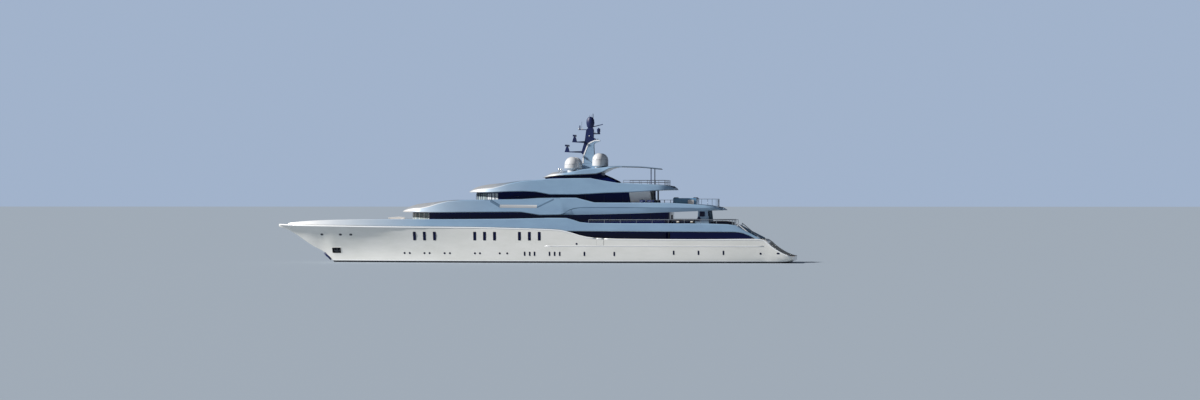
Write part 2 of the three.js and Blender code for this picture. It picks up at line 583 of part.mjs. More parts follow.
// The doorway in the after wall of a deckhouse, and its pair of sliding leaves just inside it.
const DOORWAY = 0.7; // half its width
const LEAF = { thick: 0.03, lap: 0.03, height: DOOR_HEIGHT + 0.015 };
function cutDoorway(house, plan, floor) {
  const { tail } = plan;
  const cut = block([tail - 0.5, -DOORWAY, floor - 0.5], [tail + 0.5, DOORWAY, floor + DOOR_HEIGHT]);
  house.wall = house.wall.subtract(cut);
  house.glazing = house.glazing.subtract(cut);
}
function slidingLeaf(plan, floor, side) {
  const x = plan.tail - WALL - CLEAR;
  const [a, b] = [side * CLEAR / 2, side * (DOORWAY + LEAF.lap)].sort((p, q) => p - q);
  return block([x - LEAF.thick, a, floor + SEAT], [x, b, floor + LEAF.height]);
}

// A hinged side door of the wheelhouse. It is as thick as the wall and opens outwards, and its hinge
// pin is on the outer face at its forward edge.
const WING_DOOR = { from: -1.5, width: 0.48, low: 3.97, high: 4.92 };
const PIN = 0.014;
const PIN_SIDES = 24; // so that a pin turns close to its seat
const wingAxis = (side) => [WING_DOOR.from, side * (BRIDGE_HOUSE.half + PIN + SEAT)];
function cutWingDoors(house) {
  const { from, width, low, high } = WING_DOOR;
  const cut = block([from, -ENDLESS, low], [from + CLEAR + width + SWING, ENDLESS, high]);
  house.wall = house.wall.subtract(cut);
  house.glazing = house.glazing.subtract(cut);
}
function wingDoor(side) {
  const { from, width, low, high } = WING_DOOR;
  const outer = BRIDGE_HOUSE.half;
  const x = from + CLEAR;
  const [px, py] = wingAxis(1);
  const leaf = block([x, outer - WALL, low + CLEAR], [x + width, outer, high - CLEAR]);
  const pin = rod([px, py, low + CLEAR], [px, py, high - CLEAR], PIN, PIN_SIDES);
  const lug = block([x, outer - 0.01, low + 0.1], [px + PIN, py, high - 0.1]);
  const door = join(leaf, pin, lug);
  return side > 0 ? door : mirrored(door);
}

// A gate in the hull's bulwark. It opens inwards, and its hinge pin is on the inner face.
const gateAxis = (side) => [GATE.from, side * (GATE_INNER - PIN - SEAT)];
const GATE_INNER = Math.min(sheerBreadth(GATE.from), sheerBreadth(GATE.from + GATE.width)) - BULWARK;
function gate(side) {
  const { from, width } = GATE;
  const x = from + CLEAR;
  const [px, py] = gateAxis(1);
  const low = MAIN_DECK + GATE.sill + CLEAR;
  const leaf = bulwarkSkin.intersect(block([x, 2, low], [x + width, 3.2, ENDLESS]));
  const pin = rod([px, py, low], [px, py, sheer(from) - 0.04], PIN, PIN_SIDES);
  const lug = block([x, py, low + 0.05], [px + PIN, GATE_INNER + 0.02, sheer(from) - 0.1]);
  const made = join(leaf, pin, lug);
  return side > 0 ? made : mirrored(made);
}

// The hatch in the transom, hinged along its upper edge.
const hatchAxis = [TRANSOM + PIN + SEAT, HATCH.high];
function transomHatch() {
  const [px, pz] = hatchAxis;
  const y = HATCH.half - CLEAR;
  const leaf = block([TRANSOM - HATCH.thick, -y, HATCH.low + SWING], [TRANSOM, y, HATCH.high - CLEAR]);
  const pin = rod([px, -y, pz], [px, y, pz], PIN, PIN_SIDES);
  const lug = block([TRANSOM - 0.01, -y + 0.1, pz - PIN], [px, y - 0.1, pz - CLEAR]);
  return join(leaf, pin, lug);
}

// Screw, rudder and fin. The starboard screw is of the other hand.
const SHAFT = { y: 1.25, z: -1.2, end: 15.6 };
const SCREW = { hub: 0.11, cap: 0.05, pitch: 1.3, blades: 5 };
// Stations of the screw. Columns: distance along the hub, radius of the blade tips there.
const SCREW_STATIONS = [
  [0, 0.13], [0.03, 0.32], [0.06, 0.44], [0.1, 0.52], [0.14, 0.54], [0.18, 0.52], [0.22, 0.42], [0.26, 0.24],
];
// One blade across the screw. Columns: share of the way from hub to tip, degrees round the hub.
const BLADE = [[0, -18], [0.5, -10], [1, -6], [1, 6], [0.5, 10], [0, 18], [0, 36]];
function screw(side) {
  const around = (x, hub, tip) => {
    const ring = [];
    for (let blade = 0; blade < SCREW.blades; blade++)
      for (const [share, degrees] of BLADE) {
        const turns = blade / SCREW.blades + degrees / 360 + (side * x) / SCREW.pitch;
        const radius = hub + (tip - hub) * share;
        ring.push([x, radius * Math.sin(2 * Math.PI * turns), radius * Math.cos(2 * Math.PI * turns)]);
      }
    return ring;
  };
  const rings = SCREW_STATIONS.map(([x, tip]) => around(x, SCREW.hub, tip));
  return skin([...rings, around(0.3, SCREW.cap, SCREW.cap + 0.01)]);
}
function shaft(hull, side) {
  const y = side * SHAFT.y;
  const line = rod([11.5, y, SHAFT.z], [SHAFT.end, y, SHAFT.z], 0.075, 12);
  const barrel = rod([15.1, y, SHAFT.z], [SHAFT.end - 0.03, y, SHAFT.z], 0.11, 12);
  const arms = [-0.5, 0.5].map((lean) =>
    bar([[y - 0.03, SHAFT.z], [y + 0.03, SHAFT.z], [y + 0.03 + lean, 0], [y - 0.03 + lean, 0]], 15.2, 15.5),
  );
  return hangingFrom(join(line, barrel, ...arms), hull);
}
const FOIL = [[-0.3, 0], [-0.2, 0.06], [0, 0.08], [0.5, 0], [0, -0.08], [-0.2, -0.06]];
function rudder() {
  const blade = prism(FOIL, RUDDER.foot, RUDDER.top);
  const stock = rod([0, 0, RUDDER.top - 0.1], [0, 0, RUDDER.trunk - SEAT], 0.06, 12);
  return blade.add(stock);
}
function fin() {
  const blade = prism(FOIL.map(([x, y]) => [x * 1.1, y * 0.6]), -FIN.span, -0.03);
  return blade.add(rod([0, 0, -0.1], [0, 0, -SEAT], 0.04, 12));
}

// An anchor, lying flat against the back of its pocket: shank, arms and stock in one plate.
function anchor(side) {
  const [x, z] = [-14.94, 0.9];
  const shape = [
    [x - 0.06, z + 0.18], [x - 0.04, z - 0.02], [x - 0.22, z + 0.06], [x - 0.26, z - 0.04], [x, z - 0.16],
    [x + 0.26, z - 0.04], [x + 0.22, z + 0.06], [x + 0.04, z - 0.02], [x + 0.06, z + 0.18],
  ];
  const back = ANCHOR_POCKET.back + SEAT;
  const [a, b] = [side * back, side * (back + 0.08)].sort((p, q) => p - q);
  return plate(shape, a, b);
}

// The mast: a raked pylon that stands on the roof, and the upper mast with its platforms, in one piece.
function mastPylon(hardtop) {
  const side = [
    [3.58, 6.8], [4.72, 6.8], [4.5, 7.6], [4.42, 8.85], [4.87, 9.04], [4.87, 9.13], [4.5, 9.13],
    [3.98, 8.87], [3.62, 7.9],
  ];
  const front = [[-0.42, 6.7], [0.42, 6.7], [0.2, 9.2], [-0.2, 9.2]];
  return standingOn(plate(side, -0.5, 0.5).intersect(bar(front, 3, 5.5)), hardtop);
}
const SCANNERS = [
  { x: 2.42, z: 8.6, reach: 0.95 },
  { x: 2.98, z: 9.34, reach: 0.7 },
];
// The head of the mast, turned. Columns: radius, height.
const MAST_HEAD = [
  [0, 9.95], [0.13, 9.98], [0.26, 10.14], [0.31, 10.4], [0.28, 10.65], [0.17, 10.82], [0, 10.88],
];
function upperMast() {
  const side = [
    [3.5, 8.16], [3.62, 8.05], [4.6, 9.2], [4.4, 9.3], [4.42, 9.88], [4.34, 10.06], [4.02, 10.06],
    [3.86, 9.88], [3.76, 9.1],
  ];
  const front = [[-0.3, 8], [0.3, 8], [0.2, 9.4], [0.15, 10.1], [-0.15, 10.1], [-0.2, 9.4]];
  let mast = plate(side, -0.5, 0.5).intersect(bar(front, 3, 5));
  mast = mast.add(solidOf(geometryOf(turned(MAST_HEAD, 12)).scale(1, 0.7, 1).translate(4.16, 0, 0)));
  // The platforms of the scanners taper forward and turn up at their tips.
  for (const { x, z } of SCANNERS) {
    const arm = [
      [3.9, z - 0.44], [3.9, z - 0.28], [x + 0.16, z - 0.32], [x + 0.08, z - SEAT], [x - 0.08, z - SEAT],
      [x - 0.16, z - 0.3], [x - 0.2, z - 0.37],
    ];
    mast = mast.add(plate(arm, -0.13, 0.13));
  }
  // The thin arms. Columns: forward end, after end, low, high, half-width.
  for (const [from, to, low, high, half] of [[3.26, 4.1, 9.88, 9.93, 0.03], [4.3, 4.9, 9.56, 9.64, 0.05]])
    mast = mast.add(block([from, -half, low], [to, half, high]));
  const horn = turned([[0, 9.58], [0.07, 9.6], [0.12, 9.75], [0.13, 9.95], [0, 10.05]], 10);
  mast = mast.add(moved(horn, new THREE.Matrix4().makeTranslation(4.78, 0, 0)));
  mast = mast.add(rod([3.37, 0, 9.9], [3.37, 0, 10.22], 0.04, 6));
  mast = mast.add(rod([4.3, 0, 10.1], [5.1, 0, 10.3], 0.03, 6));
  mast = mast.add(rod([4.36, 0, 10.55], [4.36, 0, 11.09], 0.025, 6));
  return mast;
}
const scanner = ({ reach }) =>
  block([-0.06, -reach, 0.05], [0.06, reach, 0.18]).add(rod([0, 0, 0], [0, 0, 0.1], 0.06));

// A satellite dome on its collar, standing on the roof.
function dome(hardtop, x, y, radius, top) {
  const [neck, sunk] = [radius * 0.6, -0.28];
  const profile = [[0, sunk], [neck, sunk], [neck, 0], [radius, 0.1], [radius, top - radius]];
  for (const angle of [25, 50, 72]) {
    const turn = (angle * Math.PI) / 180;
    profile.push([radius * Math.cos(turn), top - radius + radius * Math.sin(turn)]);
  }
  profile.push([0, top]);
  const place = new THREE.Matrix4().makeTranslation(x, y, roofTop(x));
  return standingOn(moved(turned(profile, 14), place), hardtop);
}

// A handrail: a square bar along a smooth line in equal steps, with a post down from every so many of
// them into what it stands on, to a foot whose height is a function of place.
function handrail(points, steps, every, thick, foot) {
  const path = new THREE.CatmullRomCurve3(points.map((p) => new THREE.Vector3(...p)), false, "chordal");
  const section = [[thick, thick], [-thick, thick], [-thick, -thick], [thick, -thick]];
  const options = { steps, extrudePath: path, bevelEnabled: false };
  let rail = solidOf(new THREE.ExtrudeGeometry(shapeOf(section), options));
  const half = thick * 0.7;
  for (let i = 0; i <= steps; i += every) {
    const { x, y, z } = path.getPointAt(i / steps);
    rail = rail.add(block([x - half, y - half, foot(x)], [x + half, y + half, z]));
  }
  return rail;
}
const RAIL = 0.02; // half the width of a handrail's bar
const RAIL_INSET = 0.1; // from the deck's edge to its rail
function sideRail(deck, side) {
  const railTop = curve([[4.2, 3.2], [12, 3.22], [15, 3.18]]);
  const points = [4.35, 8, 12, 15].map((x) => [x, side * (sheerBreadth(x) - RAIL_INSET), railTop(x)]);
  return standingOn(handrail(points, 9, 1, RAIL, (x) => upperTop(x) - 0.05), deck);
}
function sunRail(deck) {
  const edge = breadth(SUN_PLAN, RAIL_INSET);
  const port = [6.35, 8, 9.5, 10, 10.25].map((x) => [x, -edge(x), 6.13 - 0.004 * (x - 6.3)]);
  const starboard = port.map(([x, y, z]) => [x, -y, z]).reverse();
  return standingOn(handrail([...port, ...starboard], 24, 2, RAIL, (x) => sunTop(x) - 0.05), deck);
}

// The glass screen round the after end of the bridge deck.
function bridgeScreen(deck) {
  const screen = prism(outline(BRIDGE_PLAN, 0.62), BRIDGE_DECK, 4.72);
  const inner = prism(outline(BRIDGE_PLAN, 0.645), 0, ENDLESS);
  const aft = block([12.26, -ENDLESS, 0], [20, ENDLESS, ENDLESS]);
  return standingOn(screen.subtract(inner).intersect(aft), deck);
}

// The dark glass between the bulwark and the upper deck, along each side of the after main deck.
const AFTER_SCREEN = { from: 10.4, to: 16.4, outer: 0.06, inner: 0.085 };
function afterScreen(bulwark, side) {
  const { from, to, outer, inner } = AFTER_SCREEN;
  const sheet = prism(hullPlan(sheerBreadth, outer, from, to), sheer(to) - 0.1, UPPER_DECK)
    .subtract(prism(hullPlan(sheerBreadth, inner, from - 1, to + 1), 0, ENDLESS))
    .intersect(mainCeiling);
  return standingOn(sheet.intersect(sideBlock(side, [0, 0, 0], [20, ENDLESS, ENDLESS])), bulwark);
}

// The low tinted screen round the after end of the upper deck's sofa.
function loungeScreen(deck) {
  const side = [[13.35, 2.5], [13.35, 3.02], [13.6, 3.12], [14.2, 3.1], [15, 2.97], [15.05, 2.5]];
  const plan = { nose: 12, noseLength: 0.5, tail: 15, corner: 0.9, half: 1.75 };
  const ring = prism(outline(plan), UPPER_DECK, ENDLESS).subtract(prism(outline(plan, 0.03), 0, ENDLESS));
  return standingOn(ring.intersect(plate(side, -3, 3)), deck);
}

// A flight of stairs from the upper deck down to the after end of the main deck, with its handrails.
function sternStair(side) {
  const steps = 10;
  const [from, to] = [UPPER_END + SEAT, 16.78];
  const [high, low] = [UPPER_DECK, MAIN_DECK + SEAT];
  const tread = (to - from) / steps;
  const riser = (high - MAIN_DECK) / (steps + 1);
  const nosing = 0.02;
  const profile = [[from, high - 0.25], [from, high], [from + nosing, high - riser]];
  for (let i = 1; i < steps; i++) {
    const x = from + i * tread + nosing;
    profile.push([x, high - i * riser], [x, high - (i + 1) * riser]);
  }
  profile.push([to, high - steps * riser], [to, low], [to - 0.25, low]);
  let stair = plate(profile, 2.15, 2.6);
  const slope = (high - low) / (to - from);
  for (const y of [2.18, 2.57]) {
    const line = (x, over) => [x, y, high - (x - from) * slope + over];
    const foot = (x) => Math.max(line(x, -0.12)[2], MAIN_DECK + 0.03);
    stair = stair.add(handrail([line(15.32, 0.48), line(16.7, 0.48)], 2, 1, RAIL, foot));
  }
  return side > 0 ? stair : mirrored(stair);
}

// Deck furniture, each a solid that stands on its deck.
function mainSofa() {
  const base = block([15.35, -1.4, 0], [16.2, 1.4, 0.2]);
  const back = block([16.0, -1.4, 0.1], [16.2, 1.4, 0.42]);
  return lifted(base.add(back), MAIN_DECK + SEAT);
}
function diningTable() {
  const profile = [[0, 0], [0.35, 0], [0.1, 0.06], [0.1, 0.32], [0.8, 0.34], [0.8, 0.38], [0, 0.38]];
  const place = new THREE.Matrix4().makeTranslation(11.35, 0, UPPER_DECK + SEAT);
  return moved(turned(profile, 20), place);
}
function spaPool() {
  const shell = block([10.46, -1.15, 0], [12.2, 1.15, 0.88]);
  const basin = block([10.7, -0.9, 0.48], [11.9, 0.9, 2]);
  return lifted(shell.subtract(basin), BRIDGE_DECK + SEAT);
}

// Gear on the foredeck: the pair of windlasses on one bed, and the stowed boat crane.
const ROOTED = -0.03; // lowest part of what stands on the sloping foredeck, before the deck is cut from it
function windlass(deck) {
  const bed = block([-14.6, -0.7, ROOTED], [-13.7, 0.7, 0.08]);
  const drums = [-0.45, 0.45].map((y) => rod([-14.15, y - 0.15, 0.24], [-14.15, y + 0.15, 0.24], 0.15, 12));
  const post = block([-14.3, -0.35, 0.05], [-14.0, 0.35, 0.3]);
  return standingOn(lifted(join(bed, post, ...drums), upperFloor(-14.15)), deck);
}
function boatCrane(deck) {
  const foot = turned([[0, ROOTED], [0.2, ROOTED], [0.2, 0.05], [0.12, 0.1], [0.12, 0.5], [0, 0.5]], 12);
  const place = new THREE.Matrix4().makeTranslation(-10, 0, 0);
  const side = [[-11.1, 0.52], [-11.1, 0.6], [-10.3, 0.66], [-9.85, 0.62], [-9.85, 0.35], [-10.25, 0.35]];
  const jib = plate(side, -0.06, 0.06);
  return standingOn(lifted(moved(foot, place).add(jib), upperFloor(-10)), deck);
}

// The whole assembly.
const yacht = new THREE.Group();
function add(name, solid, material, [x, y, z] = [0, 0, 0]) {
  const geometry = geometryOf(solid);
  geometry.computeVertexNormals();
  const mesh = new THREE.Mesh(geometry, material);
  mesh.name = name;
  mesh.position.set(x, y, z);
  yacht.add(mesh);
  return mesh;
}

const HANDS = [["port", -1], ["starboard", 1]];
const hull = makeHull();
const length = (from, to) => block([from, -ENDLESS, -ENDLESS], [to, ENDLESS, ENDLESS]);
const bulwarks = { [-1]: makeBulwark(-1), [1]: makeBulwark(1) };
const upperDeck = makeUpperDeck();
const bridgeDeck = makeBridgeDeck(upperDeck);
const sunDeck = makeSunDeck(bridgeDeck);
const hardtop = makeHardtop(sunDeck);
add("hull", hull.intersect(length(-20, STERN_START)), HULL_WHITE);
add("stern", hull.intersect(length(STERN_START + SEAT, 20)), HULL_WHITE);
for (const [name, from, to] of UPPER_LENGTHS)
  add(name, upperDeck.intersect(length(from + SEAT, to)), SILVER);
add("bridge_deck", bridgeDeck, SILVER);
add("sun_deck", sunDeck, SILVER);
add("hardtop", hardtop, SILVER);

// Windows. Columns: from, to, how many, bottom, top.
const mainCeiling = under(UPPER_AFT, upperBottom);
const upperCeiling = under(BRIDGE_XS, bridgeBottom);
const bridgeCeiling = under(stations(SUN_PLAN, 0, SUN_STEPS), sunBottom);
const topCeiling = under(stations(ROOF_PLAN, 0, ROOF_STEPS), roofBottom);
const mainHouse = makeHouse(MAIN_HOUSE, hull, MAIN_DECK, mainCeiling, [[3.5, 9.9, 5, 1.5, 2.15]]);
const upperHouse = makeHouse(UPPER_HOUSE, upperDeck, UPPER_DECK, upperCeiling, [
  [-8.6, -5.9, 2, 2.9, 3.4], [-5.6, 9.9, 11, 2.9, 3.4],
]);
const bridgeHouse = makeHouse(BRIDGE_HOUSE, bridgeDeck, BRIDGE_DECK, bridgeCeiling, [
  [-4.1, -1.7, 3, 4.35, 4.95], [-0.8, 7.5, 6, 4.35, 4.95],
]);
for (const part of ["wall", "glazing"])
  upperHouse[part] = upperHouse[part].subtract(lifted(hullSkin, 3 * SEAT));
addSidePlates(bridgeHouse, bridgeDeck, bridgeCeiling);
const topHouse = makeHouse(TOP_HOUSE, sunDeck, SUN_DECK, topCeiling, [[1.4, 5, 3, 5.85, 6.2]]);
addTopWings(topHouse, sunDeck);
for (const [house, plan, floor] of [
  [mainHouse, MAIN_HOUSE, MAIN_DECK],
  [upperHouse, UPPER_HOUSE, UPPER_DECK],
  [bridgeHouse, BRIDGE_HOUSE, BRIDGE_DECK],
  [topHouse, TOP_HOUSE, SUN_DECK],
])
  cutDoorway(house, plan, floor);
cutWingDoors(bridgeHouse);
for (const [name, house] of [
  ["main", mainHouse],
  ["upper", upperHouse],
  ["bridge", bridgeHouse],
  ["top", topHouse],
]) {
  add(`${name}_house`, house.wall, WHITE);
  add(`${name}_glazing`, house.glazing, TINTED);
}

for (const [hand, side] of HANDS) {
  add(`main_door_${hand}`, slidingLeaf(MAIN_HOUSE, MAIN_DECK, side), TINTED);
  add(`upper_door_${hand}`, slidingLeaf(UPPER_HOUSE, UPPER_DECK, side), TINTED);
  add(`bridge_door_${hand}`, slidingLeaf(BRIDGE_HOUSE, BRIDGE_DECK, side), TINTED);
  add(`wing_door_${hand}`, wingDoor(side), TINTED);
  add(`bulwark_${hand}`, bulwarks[side], HULL_WHITE);
  add(`gate_${hand}`, gate(side), HULL_WHITE);
  add(`screw_${hand}`, screw(side), BRONZE, [SHAFT.end + SEAT, side * SHAFT.y, SHAFT.z]);
  add(`shaft_${hand}`, shaft(hull, side), STEEL);
  add(`rudder_${hand}`, rudder(), BOTTOM, [RUDDER.x, side * RUDDER.y, 0]);
  const stabiliser = add(`fin_${hand}`, fin(), BOTTOM, finAt(side, 0));
  stabiliser.rotation.x = side * (Math.PI / 2 - FIN.tilt);
  add(`anchor_${hand}`, anchor(side), STEEL);
  add(`side_rail_${hand}`, sideRail(upperDeck, side), STEEL);
  add(`after_screen_${hand}`, afterScreen(bulwarks[side], side), TINTED);
  add(`stern_stair_${hand}`, sternStair(side), SILVER);
  add(`dome_forward_${hand}`, dome(hardtop, 2.9, side, 0.565, 0.95), WHITE);
  add(`dome_after_${hand}`, dome(hardtop, 4.9, side * 0.9, 0.5, 1.04), WHITE);
}
add("transom_hatch", transomHatch(), HULL_WHITE);
add("mast", mastPylon(hardtop).add(upperMast()), NAVY);
add("radar_lower", scanner(SCANNERS[0]), NAVY, [SCANNERS[0].x, 0, SCANNERS[0].z]);
add("radar_upper", scanner(SCANNERS[1]), NAVY, [SCANNERS[1].x, 0, SCANNERS[1].z]);
add("sun_rail", sunRail(sunDeck), STEEL);
add("bridge_screen", bridgeScreen(bridgeDeck), TINTED);
add("lounge_screen", loungeScreen(upperDeck), TINTED);
add("main_sofa", mainSofa(), CUSHION);
add("dining_table", diningTable(), TEAK);
add("spa_pool", spaPool(), WHITE);
add("windlass", windlass(upperDeck), STEEL);
add("boat_crane", boatCrane(upperDeck), WHITE);

// The drawing is in metres, and the part is handed over in millimetres.
yacht.scale.setScalar(1000);
yacht.updateMatrixWorld(true);

export default yacht;
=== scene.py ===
# A long, low motor yacht with four decks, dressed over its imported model, bow to -X and port to -Y.
# It is a half-size model in metres. Each piece follows in the order in which the boat is built.
import math

import bmesh
import bpy
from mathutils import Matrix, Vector
from mathutils.bvhtree import BVHTree


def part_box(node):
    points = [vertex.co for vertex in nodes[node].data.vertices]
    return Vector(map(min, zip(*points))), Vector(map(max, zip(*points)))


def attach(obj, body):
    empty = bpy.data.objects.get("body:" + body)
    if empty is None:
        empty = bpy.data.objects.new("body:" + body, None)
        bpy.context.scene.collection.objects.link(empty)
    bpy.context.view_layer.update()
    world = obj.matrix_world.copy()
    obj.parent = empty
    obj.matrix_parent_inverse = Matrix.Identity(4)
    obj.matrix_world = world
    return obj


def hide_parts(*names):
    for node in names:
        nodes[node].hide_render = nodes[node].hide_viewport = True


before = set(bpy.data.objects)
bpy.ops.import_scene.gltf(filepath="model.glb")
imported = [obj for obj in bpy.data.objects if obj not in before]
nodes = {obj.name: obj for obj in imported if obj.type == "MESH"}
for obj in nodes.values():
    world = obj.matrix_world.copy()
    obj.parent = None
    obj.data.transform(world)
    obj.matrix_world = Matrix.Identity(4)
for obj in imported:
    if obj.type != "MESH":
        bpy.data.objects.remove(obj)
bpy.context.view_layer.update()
YACHT = "yacht"
HANDS = (("port", -1), ("starboard", 1))

# The hull is welded steel in two lengths, faired and sprayed off-white, with a black boot stripe and a
# fine white line at the water, and dark bottom paint below. Its decks and steps are laid with teak.
MAIN_DECK = 1.25
PLATFORM = 0.49
STEP_COUNT = 7
STRIPE_FOOT = -0.03
LINE_FOOT = 0.13
LINE_TOP = 0.19
LEVEL = 0.004


def new_material(name, colour, roughness, metallic=0.0, coat=0.0):
    """A material with its tree and its shader."""
    material = bpy.data.materials.new(name)
    material.use_nodes = True
    tree = material.node_tree
    shader = tree.nodes["Principled BSDF"]
    shader.inputs["Base Color"].default_value = (*colour, 1)
    shader.inputs["Roughness"].default_value = roughness
    shader.inputs["Metallic"].default_value = metallic
    shader.inputs["Coat Weight"].default_value = coat
    shader.inputs["Coat Roughness"].default_value = 0.06
    return material, tree, shader


def ramp_between(tree, factor, low, high, first, second):
    """A colour that runs from first to second while the factor runs from low to high."""
    ramp = tree.nodes.new("ShaderNodeValToRGB")
    ramp.color_ramp.elements[0].position = low
    ramp.color_ramp.elements[0].color = (*first, 1)
    ramp.color_ramp.elements[1].position = high
    ramp.color_ramp.elements[1].color = (*second, 1)
    tree.links.new(factor, ramp.inputs["Fac"])
    return ramp.outputs["Color"]


def cloudy(tree, scale, stretch=(1, 1, 1), detail=4):
    """Soft noise in the piece's own metres."""
    where = tree.nodes.new("ShaderNodeTexCoord")
    mapping = tree.nodes.new("ShaderNodeMapping")
    mapping.inputs["Scale"].default_value = stretch
    noise = tree.nodes.new("ShaderNodeTexNoise")
    noise.inputs["Scale"].default_value = scale
    noise.inputs["Detail"].default_value = detail
    tree.links.new(where.outputs["Object"], mapping.inputs["Vector"])
    tree.links.new(mapping.outputs["Vector"], noise.inputs["Vector"])
    return noise.outputs["Fac"]


def bumped(tree, shader, height, distance):
    """Lets a socket raise and lower the surface by up to a distance."""
    bump = tree.nodes.new("ShaderNodeBump")
    bump.inputs["Distance"].default_value = distance
    tree.links.new(height, bump.inputs["Height"])
    tree.links.new(bump.outputs["Normal"], shader.inputs["Normal"])


def feed(tree, source, target):
    """Sets an input to a number, or links it to a socket."""
    if isinstance(source, (int, float)):
        target.default_value = source
    else:
        tree.links.new(source, target)


def mixed(tree, factor, first, second, blend="MIX"):
    """Two colours, mixed or multiplied by a factor that is a socket or a number."""
    mix = tree.nodes.new("ShaderNodeMix")
    mix.data_type = "RGBA"
    mix.blend_type = blend
    feed(tree, factor, mix.inputs["Factor"])
    tree.links.new(first, mix.inputs["A"])
    tree.links.new(second, mix.inputs["B"])
    return mix.outputs["Result"]


def worked_out(tree, operation, first, second):
    """A sum on a socket and a number or another socket."""
    step = tree.nodes.new("ShaderNodeMath")
    step.operation = operation
    tree.links.new(first, step.inputs[0])
    feed(tree, second, step.inputs[1])
    return step.outputs["Value"]


def axes_of(tree):
    """The place on the piece along its own X, Y and Z, in metres."""
    where = tree.nodes.new("ShaderNodeTexCoord")
    axes = tree.nodes.new("ShaderNodeSeparateXYZ")
    tree.links.new(where.outputs["Object"], axes.inputs["Vector"])
    return axes.outputs


def share_between(tree, value, low, high):
    """How far a socket has come from low to high, as 0 to 1."""
    share = tree.nodes.new("ShaderNodeMapRange")
    share.inputs["From Min"].default_value = low
    share.inputs["From Max"].default_value = high
    tree.links.new(value, share.inputs["Value"])
    return share.outputs["Result"]


def painted(name, light, dark, roughness, metallic=0.0, coat=0.6):
    """Sprayed paint, with the faint cloudiness of large faired panels."""
    material, tree, shader = new_material(name, light, roughness, metallic, coat)
    clouds = cloudy(tree, 0.6, (1, 1, 2.5))
    colour = ramp_between(tree, clouds, 0.35, 0.65, dark, light)
    tree.links.new(colour, shader.inputs["Base Color"])
    bumped(tree, shader, cloudy(tree, 1.3), 0.004)
    return material


def hull_enamel():
    """Cream above, then the white line and the black boot stripe at the water, and dark blue below."""
    material, tree, shader = new_material("hull_enamel", (0.8, 0.78, 0.72), 0.28, 0, 0.6)
    height = axes_of(tree)["Z"]
    bands = tree.nodes.new("ShaderNodeValToRGB")
    bands.color_ramp.interpolation = "CONSTANT"
    bands.color_ramp.elements.new(0.5)
    stops = ((-1, (0.012, 0.018, 0.05)), (STRIPE_FOOT, (0.008, 0.008, 0.012)), (LINE_FOOT, (0.9, 0.9, 0.88)))
    for element, (level, colour) in zip(bands.color_ramp.elements, stops):
        element.position = (level + 1) / 2
        element.color = (*colour, 1)
    tree.links.new(share_between(tree, height, -1, 1), bands.inputs["Fac"])
    clouds = cloudy(tree, 0.5, (1, 1, 3))
    cream = ramp_between(tree, clouds, 0.35, 0.65, (0.78, 0.755, 0.69), (0.84, 0.81, 0.75))
    above = worked_out(tree, "GREATER_THAN", height, LINE_TOP)
    tree.links.new(mixed(tree, above, bands.outputs["Color"], cream), shader.inputs["Base Color"])
    bumped(tree, shader, cloudy(tree, 1.1), 0.004)
    return material


def teak_planking():
    """Teak planks along the boat, with dark seams and a grain along each plank."""
    material, tree, shader = new_material("teak_planks", (0.5, 0.36, 0.22), 0.65)
    where = tree.nodes.new("ShaderNodeTexCoord")
    planks = tree.nodes.new("ShaderNodeTexBrick")
    planks.offset = 0.37
    planks.inputs["Color1"].default_value = (0.47, 0.33, 0.2, 1)
    planks.inputs["Color2"].default_value = (0.56, 0.41, 0.26, 1)
    planks.inputs["Mortar"].default_value = (0.03, 0.025, 0.02, 1)
    planks.inputs["Scale"].default_value = 1
    planks.inputs["Mortar Size"].default_value = 0.004
    planks.inputs["Brick Width"].default_value = 1.4
    planks.inputs["Row Height"].default_value = 0.055
    tree.links.new(where.outputs["Object"], planks.inputs["Vector"])
    grain = cloudy(tree, 9, (0.4, 14, 1), 6)
    shade = ramp_between(tree, grain, 0.3, 0.7, (0.75, 0.75, 0.75), (1, 1, 1))
    colour = mixed(tree, 1, planks.outputs["Color"], shade, "MULTIPLY")
    tree.links.new(colour, shader.inputs["Base Color"])
    bumped(tree, shader, planks.outputs["Fac"], -0.002)
    return material


def link(name, mesh, slot, body, *materials):
    """A piece of a mesh, which rides on a body. Its slot is not used."""
    piece = bpy.data.objects.new(name, mesh)
    bpy.context.collection.objects.link(piece)
    for material in materials:
        mesh.materials.append(material)
    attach(piece, body)
    return piece


def dressed(node, slot, materials, body=YACHT, sharp=28, bevel=0.0, choose=None):
    """A merged, smoothly shaded copy of a solid, which stands for it.

    Each face takes the material whose number choose(centre, normal) gives, or else the first."""
    source = nodes[node].data
    mesh = bpy.data.meshes.new(node + "_mesh")
    mesh.from_pydata([v.co for v in source.vertices], [], [list(p.vertices) for p in source.polygons])
    work = bmesh.new()
    work.from_mesh(mesh)
    bmesh.ops.remove_doubles(work, verts=work.verts, dist=2e-5)
    limit = math.radians(sharp)
    for edge in work.edges:
        edge.smooth = edge.calc_face_angle(math.pi) < limit
    for face in work.faces:
        face.smooth = True
        if choose:
            face.material_index = int(choose(face.calc_center_median(), face.normal))
    work.to_mesh(mesh)
    work.free()
    piece = link(node + "_shell", mesh, slot, body, *materials)
    if bevel:
        rounding = piece.modifiers.new("rounded_edges", "BEVEL")
        rounding.width = bevel
        rounding.segments = 2
        rounding.limit_method = "ANGLE"
        rounding.angle_limit = math.radians(sharp + 5)
        rounding.use_clamp_overlap = True
        rounding.harden_normals = True
    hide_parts(node)
    return piece


def laid_with_teak(*floors):
    """Picks the level faces at these heights."""
    return lambda centre, normal: normal.z > 0.99 and any(abs(centre.z - z) < LEVEL for z in floors)


